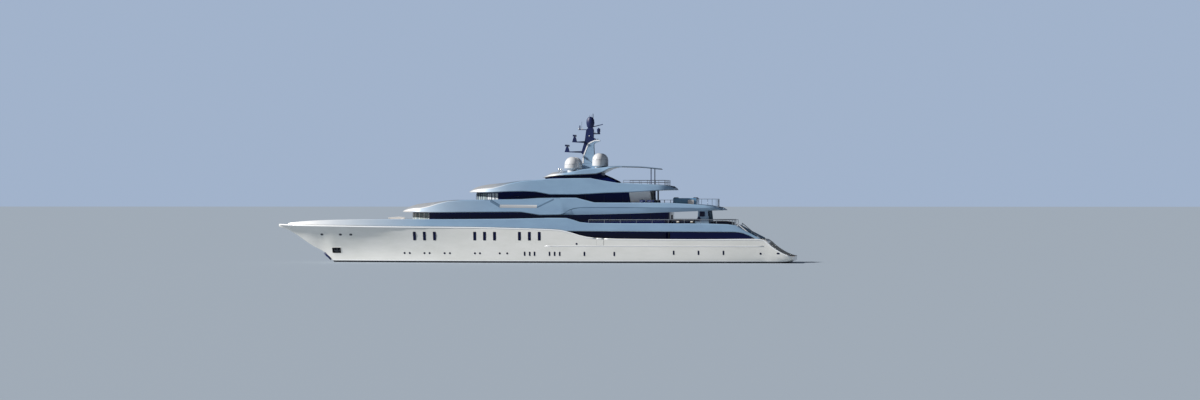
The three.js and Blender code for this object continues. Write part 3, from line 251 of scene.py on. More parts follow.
HULL_ENAMEL = hull_enamel()
TEAK = teak_planking()
RISER = (MAIN_DECK - PLATFORM) / STEP_COUNT
treads = [MAIN_DECK - i * RISER for i in range(STEP_COUNT)]
POCKET = ((-15.28, 0.7), (-14.6, 1.1))
# The anchor pockets' walls are near-black: painted shade inside the recess.
POCKET_SHADE_PAINT = painted("pocket_painted_shade", (0.012, 0.014, 0.02), (0.02, 0.022, 0.03), 0.6, coat=0)


def hull_choice(centre, normal):
    """Teak on the main deck, and near-black painted shade on the walls of the anchor pockets."""
    (x0, z0), (x1, z1) = POCKET
    near = 0.01
    if x0 - near < centre.x < x1 + near and z0 - near < centre.z < z1 + near:
        return 2
    return laid_with_teak(MAIN_DECK)(centre, normal)


dressed("hull", "hull_paint", [HULL_ENAMEL, TEAK, POCKET_SHADE_PAINT], choose=hull_choice)
dressed("stern", "hull_paint", [HULL_ENAMEL, TEAK], choose=laid_with_teak(PLATFORM, *treads))

# The bulwarks of the main deck are plate, welded to the hull and sprayed with it. A gate in each swings
# inwards on a pin, and a hatch in the transom lifts on another along its upper edge.
WHITE = painted("white_enamel", (0.88, 0.87, 0.85), (0.84, 0.83, 0.82), 0.28)
for hand, _ in HANDS:
    dressed(f"bulwark_{hand}", "hull_paint", [HULL_ENAMEL])
    dressed(f"gate_{hand}", "hull_paint", [HULL_ENAMEL], f"gate_{hand}", bevel=0.003)
dressed("transom_hatch", "hull_paint", [HULL_ENAMEL], "transom_hatch", bevel=0.004)

# A bright white cap runs along the top of the hull from the stem to the platform, and a rubbing strake
# along the joint below the bulwarks. Both are half-round mouldings welded to the plate.
FAR = 30
CAP_DROP = 0.042
CAP_GIRTH = (0.044, 0.018)
STRAKE_GIRTH = (0.03, 0.018)
BRIGHT_WHITE = painted("bright_white_enamel", (0.96, 0.95, 0.93), (0.93, 0.92, 0.9), 0.25)


def skin_of(*names):
    """The surface of some nodes, for finding places on it."""
    corners = []
    faces = []
    for name in names:
        source = nodes[name].data
        first = len(corners)
        corners += [v.co.copy() for v in source.vertices]
        faces += [[first + i for i in p.vertices] for p in source.polygons]
    return BVHTree.FromPolygons(corners, faces)


def abeam(surface, side, x, z):
    """The outermost point of a surface at a place along it and a height, with its normal, or Nones."""
    hit, normal, _, _ = surface.ray_cast(Vector((x, side * FAR, z)), Vector((0, -side, 0)))
    return hit, normal


def top_edge(surface, side, x, z, floor):
    """The highest point of the outer side of a surface at a place along it, from z downwards."""
    step = 0.004
    while z > floor:
        hit, _ = abeam(surface, side, x, z)
        if hit and abs(hit.y) > 0.05:
            return hit
        z -= step
    return None


def joined(work, first, last):
    """The faces between two loops of as many points."""
    count = len(first)
    pairs = [(i, (i + 1) % count) for i in range(count)]
    return [work.faces.new((first[i], first[j], last[j], last[i])) for i, j in pairs]


def capped(work, rings):
    """Faces through rings of points, with an end on the first and on the last."""
    for first, last in zip(rings, rings[1:]):
        joined(work, first, last)
    work.faces.new(rings[0])
    work.faces.new(rings[-1])


def closed_mesh(work, name, sharp=0):
    """A finished mesh with its faces turned outwards. Below a sharp angle, its rounds are shaded smooth."""
    bmesh.ops.recalc_face_normals(work, faces=work.faces)
    if sharp:
        for face in work.faces:
            face.smooth = True
        for edge in work.edges:
            edge.smooth = edge.calc_face_angle(0) < math.radians(sharp)
    mesh = bpy.data.meshes.new(name)
    work.to_mesh(mesh)
    work.free()
    return mesh


def swept(path, section, side):
    """A mesh of a section of (out, up) points carried along a path, with out level and to one side."""
    work = bmesh.new()
    rings = []
    for i, point in enumerate(path):
        along = (path[min(i + 1, len(path) - 1)] - path[max(i - 1, 0)]).normalized()
        out = along.cross(Vector((0, 0, 1))).normalized()
        out = out if out.y * side > 0 else -out
        up = out.cross(along)
        up = up if up.z > 0 else -up
        rings.append([work.verts.new(point + a * out + b * up) for a, b in section])
    capped(work, rings)
    for face in work.faces:
        face.smooth = len(face.verts) == 4
    return closed_mesh(work, "sweep")


def spread(start, end, count):
    """Evenly spaced values from start to end."""
    return [start + (end - start) * i / (count - 1) for i in range(count)]


def half_round(radius, bulge, sides=6, sunk=0.004):
    """A moulding of this half-height that bulges outwards, with its flat a little inside the plate."""
    turns = spread(-math.pi / 2, math.pi / 2, sides + 1)
    return [((bulge + sunk) * math.cos(t) - sunk, radius * math.sin(t)) for t in turns]


def cap_moulding(surface, side, xs, high, low):
    """A moulding along the upper edge of a bulwark, which is looked for between two heights."""
    edge = [top_edge(surface, side, x, high, low) for x in xs]
    return swept([p - Vector((0, 0, CAP_DROP)) for p in edge if p], half_round(*CAP_GIRTH), side)


hull_sides = skin_of("hull", "stern", "bulwark_port", "bulwark_starboard")
for hand, side in HANDS:
    for part, xs in (("forward", spread(-19.36, 4.88, 84)), ("after", spread(5.55, 19.3, 48))):
        mesh = cap_moulding(hull_sides, side, xs, 2.95, 0.3)
        link(f"cap_moulding_{part}_{hand}", mesh, "white_paint", YACHT, BRIGHT_WHITE)
    mesh = cap_moulding(skin_of(f"gate_{hand}"), side, spread(4.97, 5.43, 4), 1.9, 1.4)
    link(f"gate_cap_{hand}", mesh, "white_paint", f"gate_{hand}", BRIGHT_WHITE)
    strake = [abeam(hull_sides, side, x, MAIN_DECK)[0] for x in spread(1.1, 17.3, 40)]
    mesh = swept(strake, half_round(*STRAKE_GIRTH), side)
    link(f"rubbing_strake_{hand}", mesh, "hull_paint", YACHT, WHITE)

# Flush windows of dark glass and small round and upright ports are let into the hull in black rubber,
# with oval fairleads of steel at the bow. Places are distances aft of amidships and heights over water.


def metal(name, colour, roughness):
    """Polished metal with faint wear."""
    material, tree, shader = new_material(name, colour, roughness, 1.0)
    wear = cloudy(tree, 7, (1, 1, 1), 5)
    spread_out = tree.nodes.new("ShaderNodeMapRange")
    spread_out.inputs["To Min"].default_value = roughness * 0.7
    spread_out.inputs["To Max"].default_value = roughness * 1.4
    tree.links.new(wear, spread_out.inputs["Value"])
    tree.links.new(spread_out.outputs["Result"], shader.inputs["Roughness"])
    dark = tuple(0.82 * c for c in colour)
    tree.links.new(ramp_between(tree, wear, 0.3, 0.7, dark, colour), shader.inputs["Base Color"])
    return material


def tinted(name, light, dark, roughness=0.05, index=1.3):
    """Glass that is dark behind, with faint streaks."""
    material, tree, shader = new_material(name, light, roughness)
    shader.inputs["IOR"].default_value = index
    streaks = cloudy(tree, 0.8, (0.3, 0.3, 2))
    tree.links.new(ramp_between(tree, streaks, 0.3, 0.7, dark, light), shader.inputs["Base Color"])
    return material


STEEL = metal("polished_steel", (0.72, 0.73, 0.74), 0.2)
# Lit and shaded copies of one tinted glass: the first, for panes in shade, is bluer with a painted sky
# reflection; the second, for panes in the sun, is darker.
PAINTED_SKY_GLASS = tinted("tinted_glass", (0.0015, 0.008, 0.085), (0.001, 0.005, 0.058))
SUNLIT_GLASS = tinted("sunlit_glass_darkened", (0.0005, 0.003, 0.04), (0.0005, 0.002, 0.026))
BLACK = painted("black_rubber", (0.012, 0.012, 0.014), (0.02, 0.02, 0.022), 0.55, coat=0)
PANE_PROUD = 0.006
RIM_PROUD = 0.009
RIM_SUNK = -0.003


def stood_off(hit, normal, side, proud):
    """The point this far outboard of a surface."""
    return hit + (normal if normal.y * side > 0 else -normal) * proud


def pane_outline(width, height, corner, steps=4):
    """A rectangle with round corners, as (along, up) points about its middle."""
    points = []
    for quarter, (a, b) in enumerate(((1, 1), (-1, 1), (-1, -1), (1, -1))):
        for i in range(steps + 1):
            turn = (quarter + i / steps) * math.pi / 2
            along = a * (width / 2 - corner) + corner * math.cos(turn)
            points.append((along, b * (height / 2 - corner) + corner * math.sin(turn)))
    return points


def pane(work, surface, side, x, z, width, height, corner, rim):
    """Adds a pane with its raised rim to a mesh: the pane takes material 0 and the rim material 1."""

    def placed(points, proud):
        found = [abeam(surface, side, x + along, z + up) for along, up in points]
        return [work.verts.new(stood_off(hit, normal, side, proud)) for hit, normal in found]

    inner = pane_outline(width, height, corner)
    outer = pane_outline(width + 2 * rim, height + 2 * rim, corner + rim)
    glass = placed(inner, PANE_PROUD)
    lip = placed(inner, RIM_PROUD)
    edge = placed(outer, RIM_PROUD)
    foot = placed(outer, RIM_SUNK)
    rubber = [face for loops in ((glass, lip), (lip, edge), (edge, foot)) for face in joined(work, *loops)]
    for face in rubber:
        face.material_index = 1
    faces = [work.faces.new(glass)] + rubber
    bmesh.ops.recalc_face_normals(work, faces=faces)
    if faces[0].normal.y * side < 0:
        bmesh.ops.reverse_faces(work, faces=faces)


def panes(name, surface, side, table, rim, glass=None, frame_paint=None):
    """One piece of all the panes in a table. Columns: x, z, width, height, corner radius."""
    work = bmesh.new()
    for row in table:
        pane(work, surface, side, *row, rim)
    mesh = bpy.data.meshes.new(name)
    work.to_mesh(mesh)
    work.free()
    return link(name, mesh, "tinted_glass", YACHT, glass or SUNLIT_GLASS, frame_paint or BLACK)


window_places = (-8.73, -7.97, -7.2, -4.15, -3.41, -2.66, -0.79, -0.05, 0.69)
windows = [(x, 1.985, 0.2, 0.62, 0.03) for x in window_places]
low_rounds = (-9.58, -9.18, -8.03, -7.64, -6.48, -6.07, -4.16, -3.78, -2.28, -1.72)
ports = [(x, 0.71, 0.13, 0.13, 0.064) for x in low_rounds]
ports += [(x, 0.68, 0.1, 0.3, 0.03) for x in (-0.41, -0.03, 0.33, 1.45, 1.83, 2.21, 4.05, 6.27)]
ports += [(x, 0.77, 0.1, 0.3, 0.03) for x in (10.67, 12.5, 14.34)]
ports += [(17.07, 0.71, 0.14, 0.14, 0.068), (18.36, 0.73, 0.2, 0.1, 0.045), (3.47, 1.42, 0.13, 0.13, 0.064)]
# The fairleads' openings are filled with black: painted shade where the hole is.
fairleads = [(x, 2.08, 0.22, 0.13, 0.06) for x in (-15.97, -14.48, -13.67)]
for hand, side in HANDS:
    panes(f"hull_windows_{hand}", hull_sides, side, windows, 0.01)
    panes(f"hull_ports_{hand}", hull_sides, side, ports, 0.01)
    panes(f"fairleads_{hand}", hull_sides, side, fairleads, 0.018, BLACK, STEEL)

# The stem has a dark guard plate where it meets the water, bent to its rake and bolted on. Each anchor
# pocket in the bow is framed by a low welded lip.
NAVY = painted("navy_enamel", (0.005, 0.015, 0.09), (0.004, 0.011, 0.065), 0.45, coat=0)
stem = [Vector((x, 0, z)) for x, z in ((-15.93, 0.72), (-15.75, 0.52), (-15.6, 0.4), (-15.42, 0.22))]
mesh = swept(stem, [(-0.05, -0.1), (-0.05, 0.02), (0, 0.05), (0.05, 0.02), (0.05, -0.1)], 1)
link("stem_guard", mesh, "mast_paint", YACHT, NAVY)
# The lip's edges from the pocket outwards. Columns: how far out, how far off the plate.
LIP_EDGES = ((0.004, 0.012), (0.02, 0.012), (0.028, -0.004))


def pocket_lip(surface, side):
    """A lip round an anchor pocket, bent to the plate."""
    (x0, z0), (x1, z1) = POCKET
    corners = ((x0, z0), (x1, z0), (x1, z1), (x0, z1))
    around = []
    for (ax, az), (bx, bz) in zip(corners, corners[1:] + corners[:1]):
        around += [(ax + (bx - ax) * t, az + (bz - az) * t) for t in (0.04, 0.35, 0.65, 0.96)]
    middle = Vector(((x0 + x1) / 2, (z0 + z1) / 2))
    work = bmesh.new()
    loops = []
    for grow, proud in LIP_EDGES:
        loop = []
        for x, z in around:
            out = (Vector((x, z)) - middle).normalized() * grow
            along = x + out.x + math.copysign(grow, x - middle.x)
            hit, normal = abeam(surface, side, along, z + out.y)
            loop.append(work.verts.new(stood_off(hit, normal, side, proud)))
        loops.append(loop)
    for low, high in zip(loops, loops[1:]):
        joined(work, low, high)
    return closed_mesh(work, "pocket_lip")


bow_plate = skin_of("hull")
for hand, side in HANDS:
    mesh = pocket_lip(bow_plate, side)
    link(f"anchor_pocket_lip_{hand}", mesh, "hull_paint", YACHT, HULL_ENAMEL)

# The running gear: stabiliser fins, tail shafts, screws, rudders and thruster tunnels, all of cast bronze,
# steel or painted plate. They are bolted to the hull or turn in its bearings.
BRONZE = metal("cast_bronze", (0.62, 0.4, 0.18), 0.3)
BOTTOM = painted("bottom_paint", (0.014, 0.026, 0.09), (0.01, 0.018, 0.06), 0.6, coat=0)
for hand, side in HANDS:
    dressed(f"fin_{hand}", "bottom_paint", [BOTTOM], f"fin_{hand}", sharp=40)
    dressed(f"rudder_{hand}", "bottom_paint", [BOTTOM], f"rudder_{hand}", sharp=40)
    dressed(f"shaft_{hand}", "steel", [STEEL], sharp=50)
    dressed(f"screw_{hand}", "bronze", [BRONZE], f"screw_{hand}", sharp=50)
    # Each tunnel's mouth is a black disc in a rim: painted shade for the dark inside the tunnel.
    tunnels = [(x, -0.75, 0.44, 0.44, 0.218) for x in (-12.6, -11.9)]
    panes(f"thruster_tunnels_{hand}", hull_sides, side, tunnels, 0.03, BLACK, BOTTOM)

# An anchor of cast and galvanised steel is housed in each bow. Its flukes lie flat in the pocket, and its
# shank is drawn up the pipe behind it.
GALVANISED = metal("galvanised_steel", (0.16, 0.165, 0.175), 0.55)
for hand, _ in HANDS:
    dressed(f"anchor_{hand}", "steel", [GALVANISED], bevel=0.006)

# The upper deck is a welded band sprayed in silver blue, with teak laid inside. The foredeck's part of it is
# off-white, partly white paint and partly painted sunlight on the bow, and fades into the blue where the
# deckhouse begins.
UPPER_DECK = 2.55
UPPER_RAIL_FOOT = 2.9
TEAK_RUN = (-15.91, 14.9)


def silver_blue(name):
    """The enamel of the deck bands."""
    return painted(name, (0.325, 0.475, 0.625), (0.295, 0.43, 0.58), 0.3, 0.2, 0.5)


def fading_enamel(name, forward, aft, bend=1.0):
    """A band's enamel, off-white forward of one place along the boat and silver blue aft of another. The
    off-white is partly white paint and partly painted sunlight on the nose.

    The smaller the bend, the sooner most of the white has gone.
    """
    material = silver_blue(name)
    tree = material.node_tree
    base = tree.nodes["Principled BSDF"].inputs["Base Color"]
    blue = base.links[0].from_socket
    white_and_sunlight = ramp_between(tree, cloudy(tree, 0.7), 0.35, 0.65, (0.8, 0.79, 0.77), (0.84, 0.83, 0.81))
    share = share_between(tree, axes_of(tree)["X"], forward, aft)
    tree.links.new(mixed(tree, worked_out(tree, "POWER", share, bend), white_and_sunlight, blue), base)
    return material


def upper_choice(centre, normal):
    """Teak on the upper deck's floor, which rises forward with the sheer below the top of its bulwark."""
    return int(normal.z > 0.97 and centre.z < UPPER_RAIL_FOOT and TEAK_RUN[0] < centre.x < TEAK_RUN[1])


SILVER = silver_blue("silver_blue_enamel")
FOREDECK_ENAMEL = fading_enamel("foredeck_enamel", -16.4, -7.6, 0.9)
dressed("foredeck", "deck_paint", [FOREDECK_ENAMEL, TEAK], choose=upper_choice)
dressed("upper_deck", "deck_paint", [FOREDECK_ENAMEL, TEAK], choose=upper_choice)
dressed("after_deck", "deck_paint", [SILVER, TEAK], choose=upper_choice)

# The main deckhouse: a white wall behind dark glass, with a pair of sliding doors in its after end and a
# dark screen along each bulwark further aft.
for hand, _ in HANDS:
    dressed(f"main_door_{hand}", "tinted_glass", [PAINTED_SKY_GLASS], f"main_door_{hand}", bevel=0.004)
    dressed(f"after_screen_{hand}", "tinted_glass", [SUNLIT_GLASS])
dressed("main_house", "white_paint", [WHITE])
dressed("main_glazing", "tinted_glass", [PAINTED_SKY_GLASS])

# Round lamps of frosted glass are let into the deck above, in a row over each side deck. Like all fittings
# that are many of a kind, they are copies of one item that a tree sets out.


def node_tree(name, *inputs):
    """An empty Geometry Nodes tree with its own inputs after the geometry."""
    tree = bpy.data.node_groups.new(name, "GeometryNodeTree")
    tree.interface.new_socket("Geometry", in_out="OUTPUT", socket_type="NodeSocketGeometry")
    for label, kind in (("Geometry", "Geometry"), *inputs, ("Material", "Material")):
        tree.interface.new_socket(label, in_out="INPUT", socket_type="NodeSocket" + kind)
    return tree, tree.nodes.new("NodeGroupInput")


def ended(tree, entry, geometry):
    """Closes a tree: the copies are made real and take their material."""
    real = tree.nodes.new("GeometryNodeRealizeInstances")
    paint = tree.nodes.new("GeometryNodeSetMaterial")
    out = tree.nodes.new("NodeGroupOutput")
    tree.links.new(geometry, real.inputs["Geometry"])
    tree.links.new(real.outputs["Geometry"], paint.inputs["Geometry"])
    tree.links.new(entry.outputs["Material"], paint.inputs["Material"])
    tree.links.new(paint.outputs["Geometry"], out.inputs["Geometry"])
    return tree


def repeating_tree():
    """Puts a copy of an item at each point of a mesh, turned as the point says."""
    tree, entry = node_tree("repeated_item", ("Item", "Object"), ("Size", "Float"))
    item = tree.nodes.new("GeometryNodeObjectInfo")
    turn = tree.nodes.new("GeometryNodeInputNamedAttribute")
    turn.data_type = "FLOAT_VECTOR"
    turn.inputs["Name"].default_value = "turn"
    euler = tree.nodes.new("FunctionNodeEulerToRotation")
    copies = tree.nodes.new("GeometryNodeInstanceOnPoints")
    tree.links.new(entry.outputs["Item"], item.inputs["Object"])
    tree.links.new(turn.outputs["Attribute"], euler.inputs["Euler"])
    tree.links.new(entry.outputs["Geometry"], copies.inputs["Points"])
    tree.links.new(item.outputs["Geometry"], copies.inputs["Instance"])
    tree.links.new(euler.outputs["Rotation"], copies.inputs["Rotation"])
    tree.links.new(entry.outputs["Size"], copies.inputs["Scale"])
    return ended(tree, entry, copies.outputs["Instances"])


def baked(piece):
    """The plain mesh that an object's modifiers make."""
    seen = piece.evaluated_get(bpy.context.evaluated_depsgraph_get())
    return bpy.data.meshes.new_from_object(seen)


def grown(tree, mesh, values):
    """The plain mesh that a tree makes from a mesh with these inputs."""
    base = bpy.data.objects.new("base", mesh)
    bpy.context.collection.objects.link(base)
    modifier = base.modifiers.new("tree", "NODES")
    modifier.node_group = tree
    for socket in tree.interface.items_tree:
        if socket.in_out == "INPUT" and socket.name in values:
            modifier[socket.identifier] = values[socket.name]
    made = baked(base)
    base.modifiers.remove(modifier)
    bpy.data.objects.remove(base)
    return made


def repeated(name, item, points, slot, material, turns=None, size=1.0):
    """One piece of copies of a mesh at these points, turned about the axes where turns are given."""
    mesh = bpy.data.meshes.new("places")
    mesh.from_pydata(points, [], [])
    turn = mesh.attributes.new("turn", "FLOAT_VECTOR", "POINT")
    for value, angles in zip(turn.data, turns or []):
        value.vector = angles
    holder = bpy.data.objects.new("item", item)
    made = grown(REPEATING, mesh, {"Item": holder, "Size": size, "Material": material})
    bpy.data.objects.remove(holder)
    return link(name, made, slot, YACHT)


def turned(profile, sides=20):
    """A closed mesh turned about Z from rows of radius and height, the first and last on the axis."""
    work = bmesh.new()
    rings = []
    for radius, height in profile:
        spots = [2 * math.pi * i / sides for i in range(sides)] if radius > 0 else [0]
        rings.append([work.verts.new((radius * math.cos(t), radius * math.sin(t), height)) for t in spots])
    for low, high in zip(rings, rings[1:]):
        for i in range(sides):
            j = (i + 1) % sides
            corners = [low[i % len(low)], low[j % len(low)], high[j % len(high)], high[i % len(high)]]
            work.faces.new(list(dict.fromkeys(corners)))
    return closed_mesh(work, "turned", 35)


REPEATING = repeating_tree()
LAMP = painted("lamp_glass", (0.9, 0.88, 0.8), (0.85, 0.83, 0.76), 0.2)
lamp = turned([(0, 0.004), (0.045, 0.004), (0.045, -0.006), (0.03, -0.009), (0, -0.009)], 12)
LAMP_OUT = 2.45
HEAD_HIGH = 1.6


def above(surface, x, y, z):
    """The first point of a surface straight above a place, or None."""
    return surface.ray_cast(Vector((x, y, z)), Vector((0, 0, 1)))[0]


ceiling = skin_of("after_deck")
places = [(x, side * LAMP_OUT) for _, side in HANDS for x in spread(4.6, 14.2, 9)]
repeated("side_deck_lamps", lamp, [above(ceiling, x, y, HEAD_HIGH) for x, y in places], "steel", LAMP)

# A sofa stands across the after end of the main deck: a moulded white plinth with separate cushions in
# cream fabric, each cut from panels and piped along its edge.
PIPING = 0.006
PRESSURE = 4
SETTLED = 20


def pipe_tree():
    """Draws a round bar along each line of a mesh."""
    tree, entry = node_tree("pipe_along_lines", ("Radius", "Float"), ("Sides", "Int"))
    lines = tree.nodes.new("GeometryNodeMeshToCurve")
    ring = tree.nodes.new("GeometryNodeCurvePrimitiveCircle")
    pipe = tree.nodes.new("GeometryNodeCurveToMesh")
    pipe.inputs["Fill Caps"].default_value = True
    tree.links.new(entry.outputs["Geometry"], lines.inputs["Mesh"])
    tree.links.new(entry.outputs["Sides"], ring.inputs["Resolution"])
    tree.links.new(entry.outputs["Radius"], ring.inputs["Radius"])
    tree.links.new(lines.outputs["Curve"], pipe.inputs["Curve"])
    tree.links.new(ring.outputs["Curve"], pipe.inputs["Profile Curve"])
    return ended(tree, entry, pipe.outputs["Mesh"])


PIPES = pipe_tree()


def pipes(name, lines, radius, slot, material, sides=8):
    """One piece of round bars along lines of points."""
    points = [p for line in lines for p in line]
    edges = []
    start = 0
    for line in lines:
        edges += [(start + i, start + i + 1) for i in range(len(line) - 1)]
        start += len(line)
    mesh = bpy.data.meshes.new("lines")
    mesh.from_pydata(points, edges, [])
    made = grown(PIPES, mesh, {"Radius": radius, "Sides": sides, "Material": material})
    return link(name, made, slot, YACHT)


def boxes(rows, bevel=0.006):
    """A mesh of blocks with rounded edges. Rows: low corner, high corner."""
    work = bmesh.new()
    for low, high in rows:
        middle = (Vector(low) + Vector(high)) / 2
        size = Vector(high) - Vector(low)
        for vert in bmesh.ops.create_cube(work, size=1)["verts"]:
            vert.co = Vector(a * b for a, b in zip(vert.co, size)) + middle
    bmesh.ops.bevel(work, geom=work.edges[:], offset=bevel, segments=2, profile=0.6, affect="EDGES")
    return closed_mesh(work, "blocks", 50)


def woven(name, light, dark):
    """Outdoor fabric: a fine basket weave over soft changes of colour."""
    material, tree, shader = new_material(name, light, 0.85)
    shader.inputs["Sheen Weight"].default_value = 0.25
    where = tree.nodes.new("ShaderNodeTexCoord")
    weave = tree.nodes.new("ShaderNodeTexChecker")
    weave.inputs["Scale"].default_value = 260
    weave.inputs["Color1"].default_value = (*light, 1)
    weave.inputs["Color2"].default_value = (*dark, 1)
    tree.links.new(where.outputs["Object"], weave.inputs["Vector"])
    clouds = cloudy(tree, 5)
    shade = ramp_between(tree, clouds, 0.3, 0.7, (0.88, 0.88, 0.88), (1, 1, 1))
    colour = mixed(tree, 1, weave.outputs["Color"], shade, "MULTIPLY")
    tree.links.new(colour, shader.inputs["Base Color"])
    bumped(tree, shader, weave.outputs["Fac"], 0.0006)
    return material


CREAM = woven("cream_fabric", (0.74, 0.71, 0.63), (0.66, 0.63, 0.55))
DARK_FABRIC = woven("navy_fabric", (0.02, 0.03, 0.075), (0.012, 0.02, 0.05))


def stuffed(size, voxel=0.022, cap=0.02):
    """A stuffed cushion of this size about the origin: crowned, and drawn in between its corners."""
    work = bmesh.new()
    half = Vector(size) / 2
    bmesh.ops.create_cube(work, size=2)
    bmesh.ops.subdivide_edges(work, edges=work.edges[:], cuts=7, use_grid_fill=True)
    thin = min(range(3), key=lambda i: size[i])
    wide = [i for i in range(3) if i != thin]
    for vert in work.verts:
        u, v = (vert.co[i] for i in wide)
        crown = (1 - 0.9 * u**4) * (1 - 0.9 * v**4)
        drawn = 1 - 0.05 * (1 - abs(vert.co[thin])) - 0.03 * (1 - min(abs(u), abs(v)) ** 2)
        placed = Vector((0, 0, 0))
        placed[wide[0]] = u * half[wide[0]] * drawn
        placed[wide[1]] = v * half[wide[1]] * drawn
        placed[thin] = vert.co[thin] * half[thin] * (0.55 + 0.33 * crown)
        vert.co = placed
    mesh = bpy.data.meshes.new("cushion")
    work.to_mesh(mesh)
    work.free()
    pad = bpy.data.objects.new("cushion", mesh)
    bpy.context.collection.objects.link(pad)
    remesh = pad.modifiers.new("remesh", "REMESH")
    remesh.mode = "VOXEL"
    remesh.voxel_size = voxel
    plain = baked(pad)
    pad.modifiers.clear()
    pad.data = plain
    before = [v.co.copy() for v in plain.vertices]
    cloth = pad.modifiers.new("cloth", "CLOTH")
    cloth.settings.use_pressure = True
    cloth.settings.uniform_pressure_force = PRESSURE
    cloth.settings.effector_weights.gravity = 0
    for moment in range(1, SETTLED + 1):
        bpy.context.scene.frame_set(moment)
    after = pad.evaluated_get(bpy.context.evaluated_depsgraph_get()).data
    shifted = []
    for start, vert in zip(before, after.vertices):
        move = vert.co - start
        move = move.normalized() * min(move.length, cap)
        shifted.append(Vector(max(-h, min(h, c)) for c, h in zip(start + move, half)))
    pad.modifiers.clear()
    for vert, place in zip(plain.vertices, shifted):
        vert.co = place
    bpy.context.scene.frame_set(1)
    smooth = pad.modifiers.new("smooth", "SUBSURF")
    smooth.levels = smooth.render_levels = 1
    made = baked(pad)
    bpy.data.objects.remove(pad)
    for polygon in made.polygons:
        polygon.use_smooth = True
    return made


def piping(made, size):
    """The line of the piping round a cushion, on its surface halfway through its thickness."""
    thin = min(range(3), key=lambda i: size[i])
    wide = [i for i in range(3) if i != thin]
    shape = BVHTree.FromPolygons([v.co for v in made.vertices], [list(p.vertices) for p in made.polygons])
    line = []
    for turn in spread(0, 2 * math.pi, 49):
        out = Vector((0, 0, 0))
        out[wide[0]] = math.cos(turn) * size[wide[0]]
        out[wide[1]] = math.sin(turn) * size[wide[1]]
        away = out.normalized()
        line.append(shape.ray_cast(out, -away)[0] - away * PIPING * 0.4)
    return line


def cushions(name, size, places, fabric, piped):
    """A stuffed cushion at each place, each its own piece, with its piping."""
    made = stuffed(size)
    line = piping(made, size)
    for i, place in enumerate(places):
        mesh = made.copy()
        for vert in mesh.vertices:
            vert.co += Vector(place)
        piece = link(f"{name}_{i + 1}", mesh, "upholstery", YACHT, fabric)
        shifted = [p + Vector(place) for p in line]
        pipes(f"{name}_piping_{i + 1}", [shifted], PIPING, "upholstery", piped, sides=6)


(x0, y0, z0), (x1, y1, _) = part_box("main_sofa")
base = boxes(
    [
        ((x0 + 0.06, y0 + 0.04, z0), (x1 - 0.04, y1 - 0.04, 1.31)),
        ((x0, y0, 1.3), (x1, y1, 1.37)),
        ((x1 - 0.07, y0, 1.36), (x1, y1, 1.6)),
    ],
    0.012,
)
plinth = link("sofa_plinth", base, "white_paint", YACHT, WHITE)
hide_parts("main_sofa")
across = [y0 + 0.35 + 0.7 * i for i in range(4)]
cushions("sofa_seat", (0.62, 0.68, 0.13), [(15.68, y, 1.436) for y in across], CREAM, NAVY)
cushions("sofa_back", (0.12, 0.66, 0.24), [(16.06, y, 1.55) for y in across], CREAM, NAVY)

# The upper deckhouse, with panes round its front between white bars, pale with a painted sky reflection, and
# dark glass from there aft, and its sliding doors. Its glazing is set flush in rubber.
# The pale and the bright glass are tinted glass with a painted reflection of the sky in their colour.
PALE_REFLECTION_GLASS = tinted("glass_painted_pale_sky", (0.36, 0.42, 0.42), (0.2, 0.26, 0.27), 0.08)
BRIGHT_REFLECTION_GLASS = tinted("glass_painted_bright_sky", (0.85, 0.87, 0.86), (0.62, 0.68, 0.7), 0.08)
SET_IN = 0.004


def front_hit(surface, centre, angle, z):
    """The point of a round front that faces an angle off the bow, with its level normal and sideways."""
    away = Vector((-math.cos(angle), math.sin(angle), 0))
    hit, normal, _, _ = surface.ray_cast(Vector((centre, 0, z)) + away * FAR, -away)
    outward = Vector((normal.x, normal.y, 0)).normalized()
    outward = outward if outward.dot(away) > 0 else -outward
    return hit, outward, Vector((-outward.y, outward.x, 0))


def front_bars(name, surface, centre, angles, low, high, slot, material, width=0.05, proud=0.016):
    """Bars from low to high on a round front, at these angles off the bow, in degrees."""
    work = bmesh.new()
    for angle in angles:
        hit, outward, sideways = front_hit(surface, centre, math.radians(angle), (low + high) / 2)
        section = [(-width / 2, -SET_IN), (-width / 2, proud * 0.7), (-width / 4, proud), (width / 4, proud)]
        section += [(width / 2, proud * 0.7), (width / 2, -SET_IN)]
        corners = [hit + sideways * a + outward * b for a, b in section]
        capped(work, [[work.verts.new((p.x, p.y, z)) for p in corners] for z in (low, high)])
    return link(name, closed_mesh(work, name), slot, YACHT, material)


def front_panes(name, surface, centre, spans, low, high, material, proud=0.003):
    """Panes on a round front. Each span runs between two angles off the bow, in degrees."""
    work = bmesh.new()
    for first, last in spans:
        steps = max(2, round(abs(last - first) / 3))
        rings = []
        for angle in spread(first, last, steps + 1):
            hit, outward, _ = front_hit(surface, centre, math.radians(angle), (low + high) / 2)
            front = hit + outward * proud
            back = hit - outward * SET_IN
            section = [(back.x, back.y, low), (front.x, front.y, low), (front.x, front.y, high)]
            rings.append([work.verts.new(p) for p in section + [(back.x, back.y, high)]])
        capped(work, rings)
    return link(name, closed_mesh(work, name), "tinted_glass", YACHT, material)


def side_joints(name, surface, xs, low, high, proud=0.003, width=0.016):
    """The rubber joints between panes along both sides of a deckhouse, which is flat there."""
    rows = []
    for x in xs:
        for _, side in HANDS:
            hit, _ = abeam(surface, side, x, (low + high) / 2)
            y0, y1 = sorted((hit.y - side * SET_IN, hit.y + side * proud))
            rows.append(((x - width / 2, y0, low), (x + width / 2, y1, high)))
    return link(name, boxes(rows, 0.001), "tinted_glass", YACHT, BLACK)


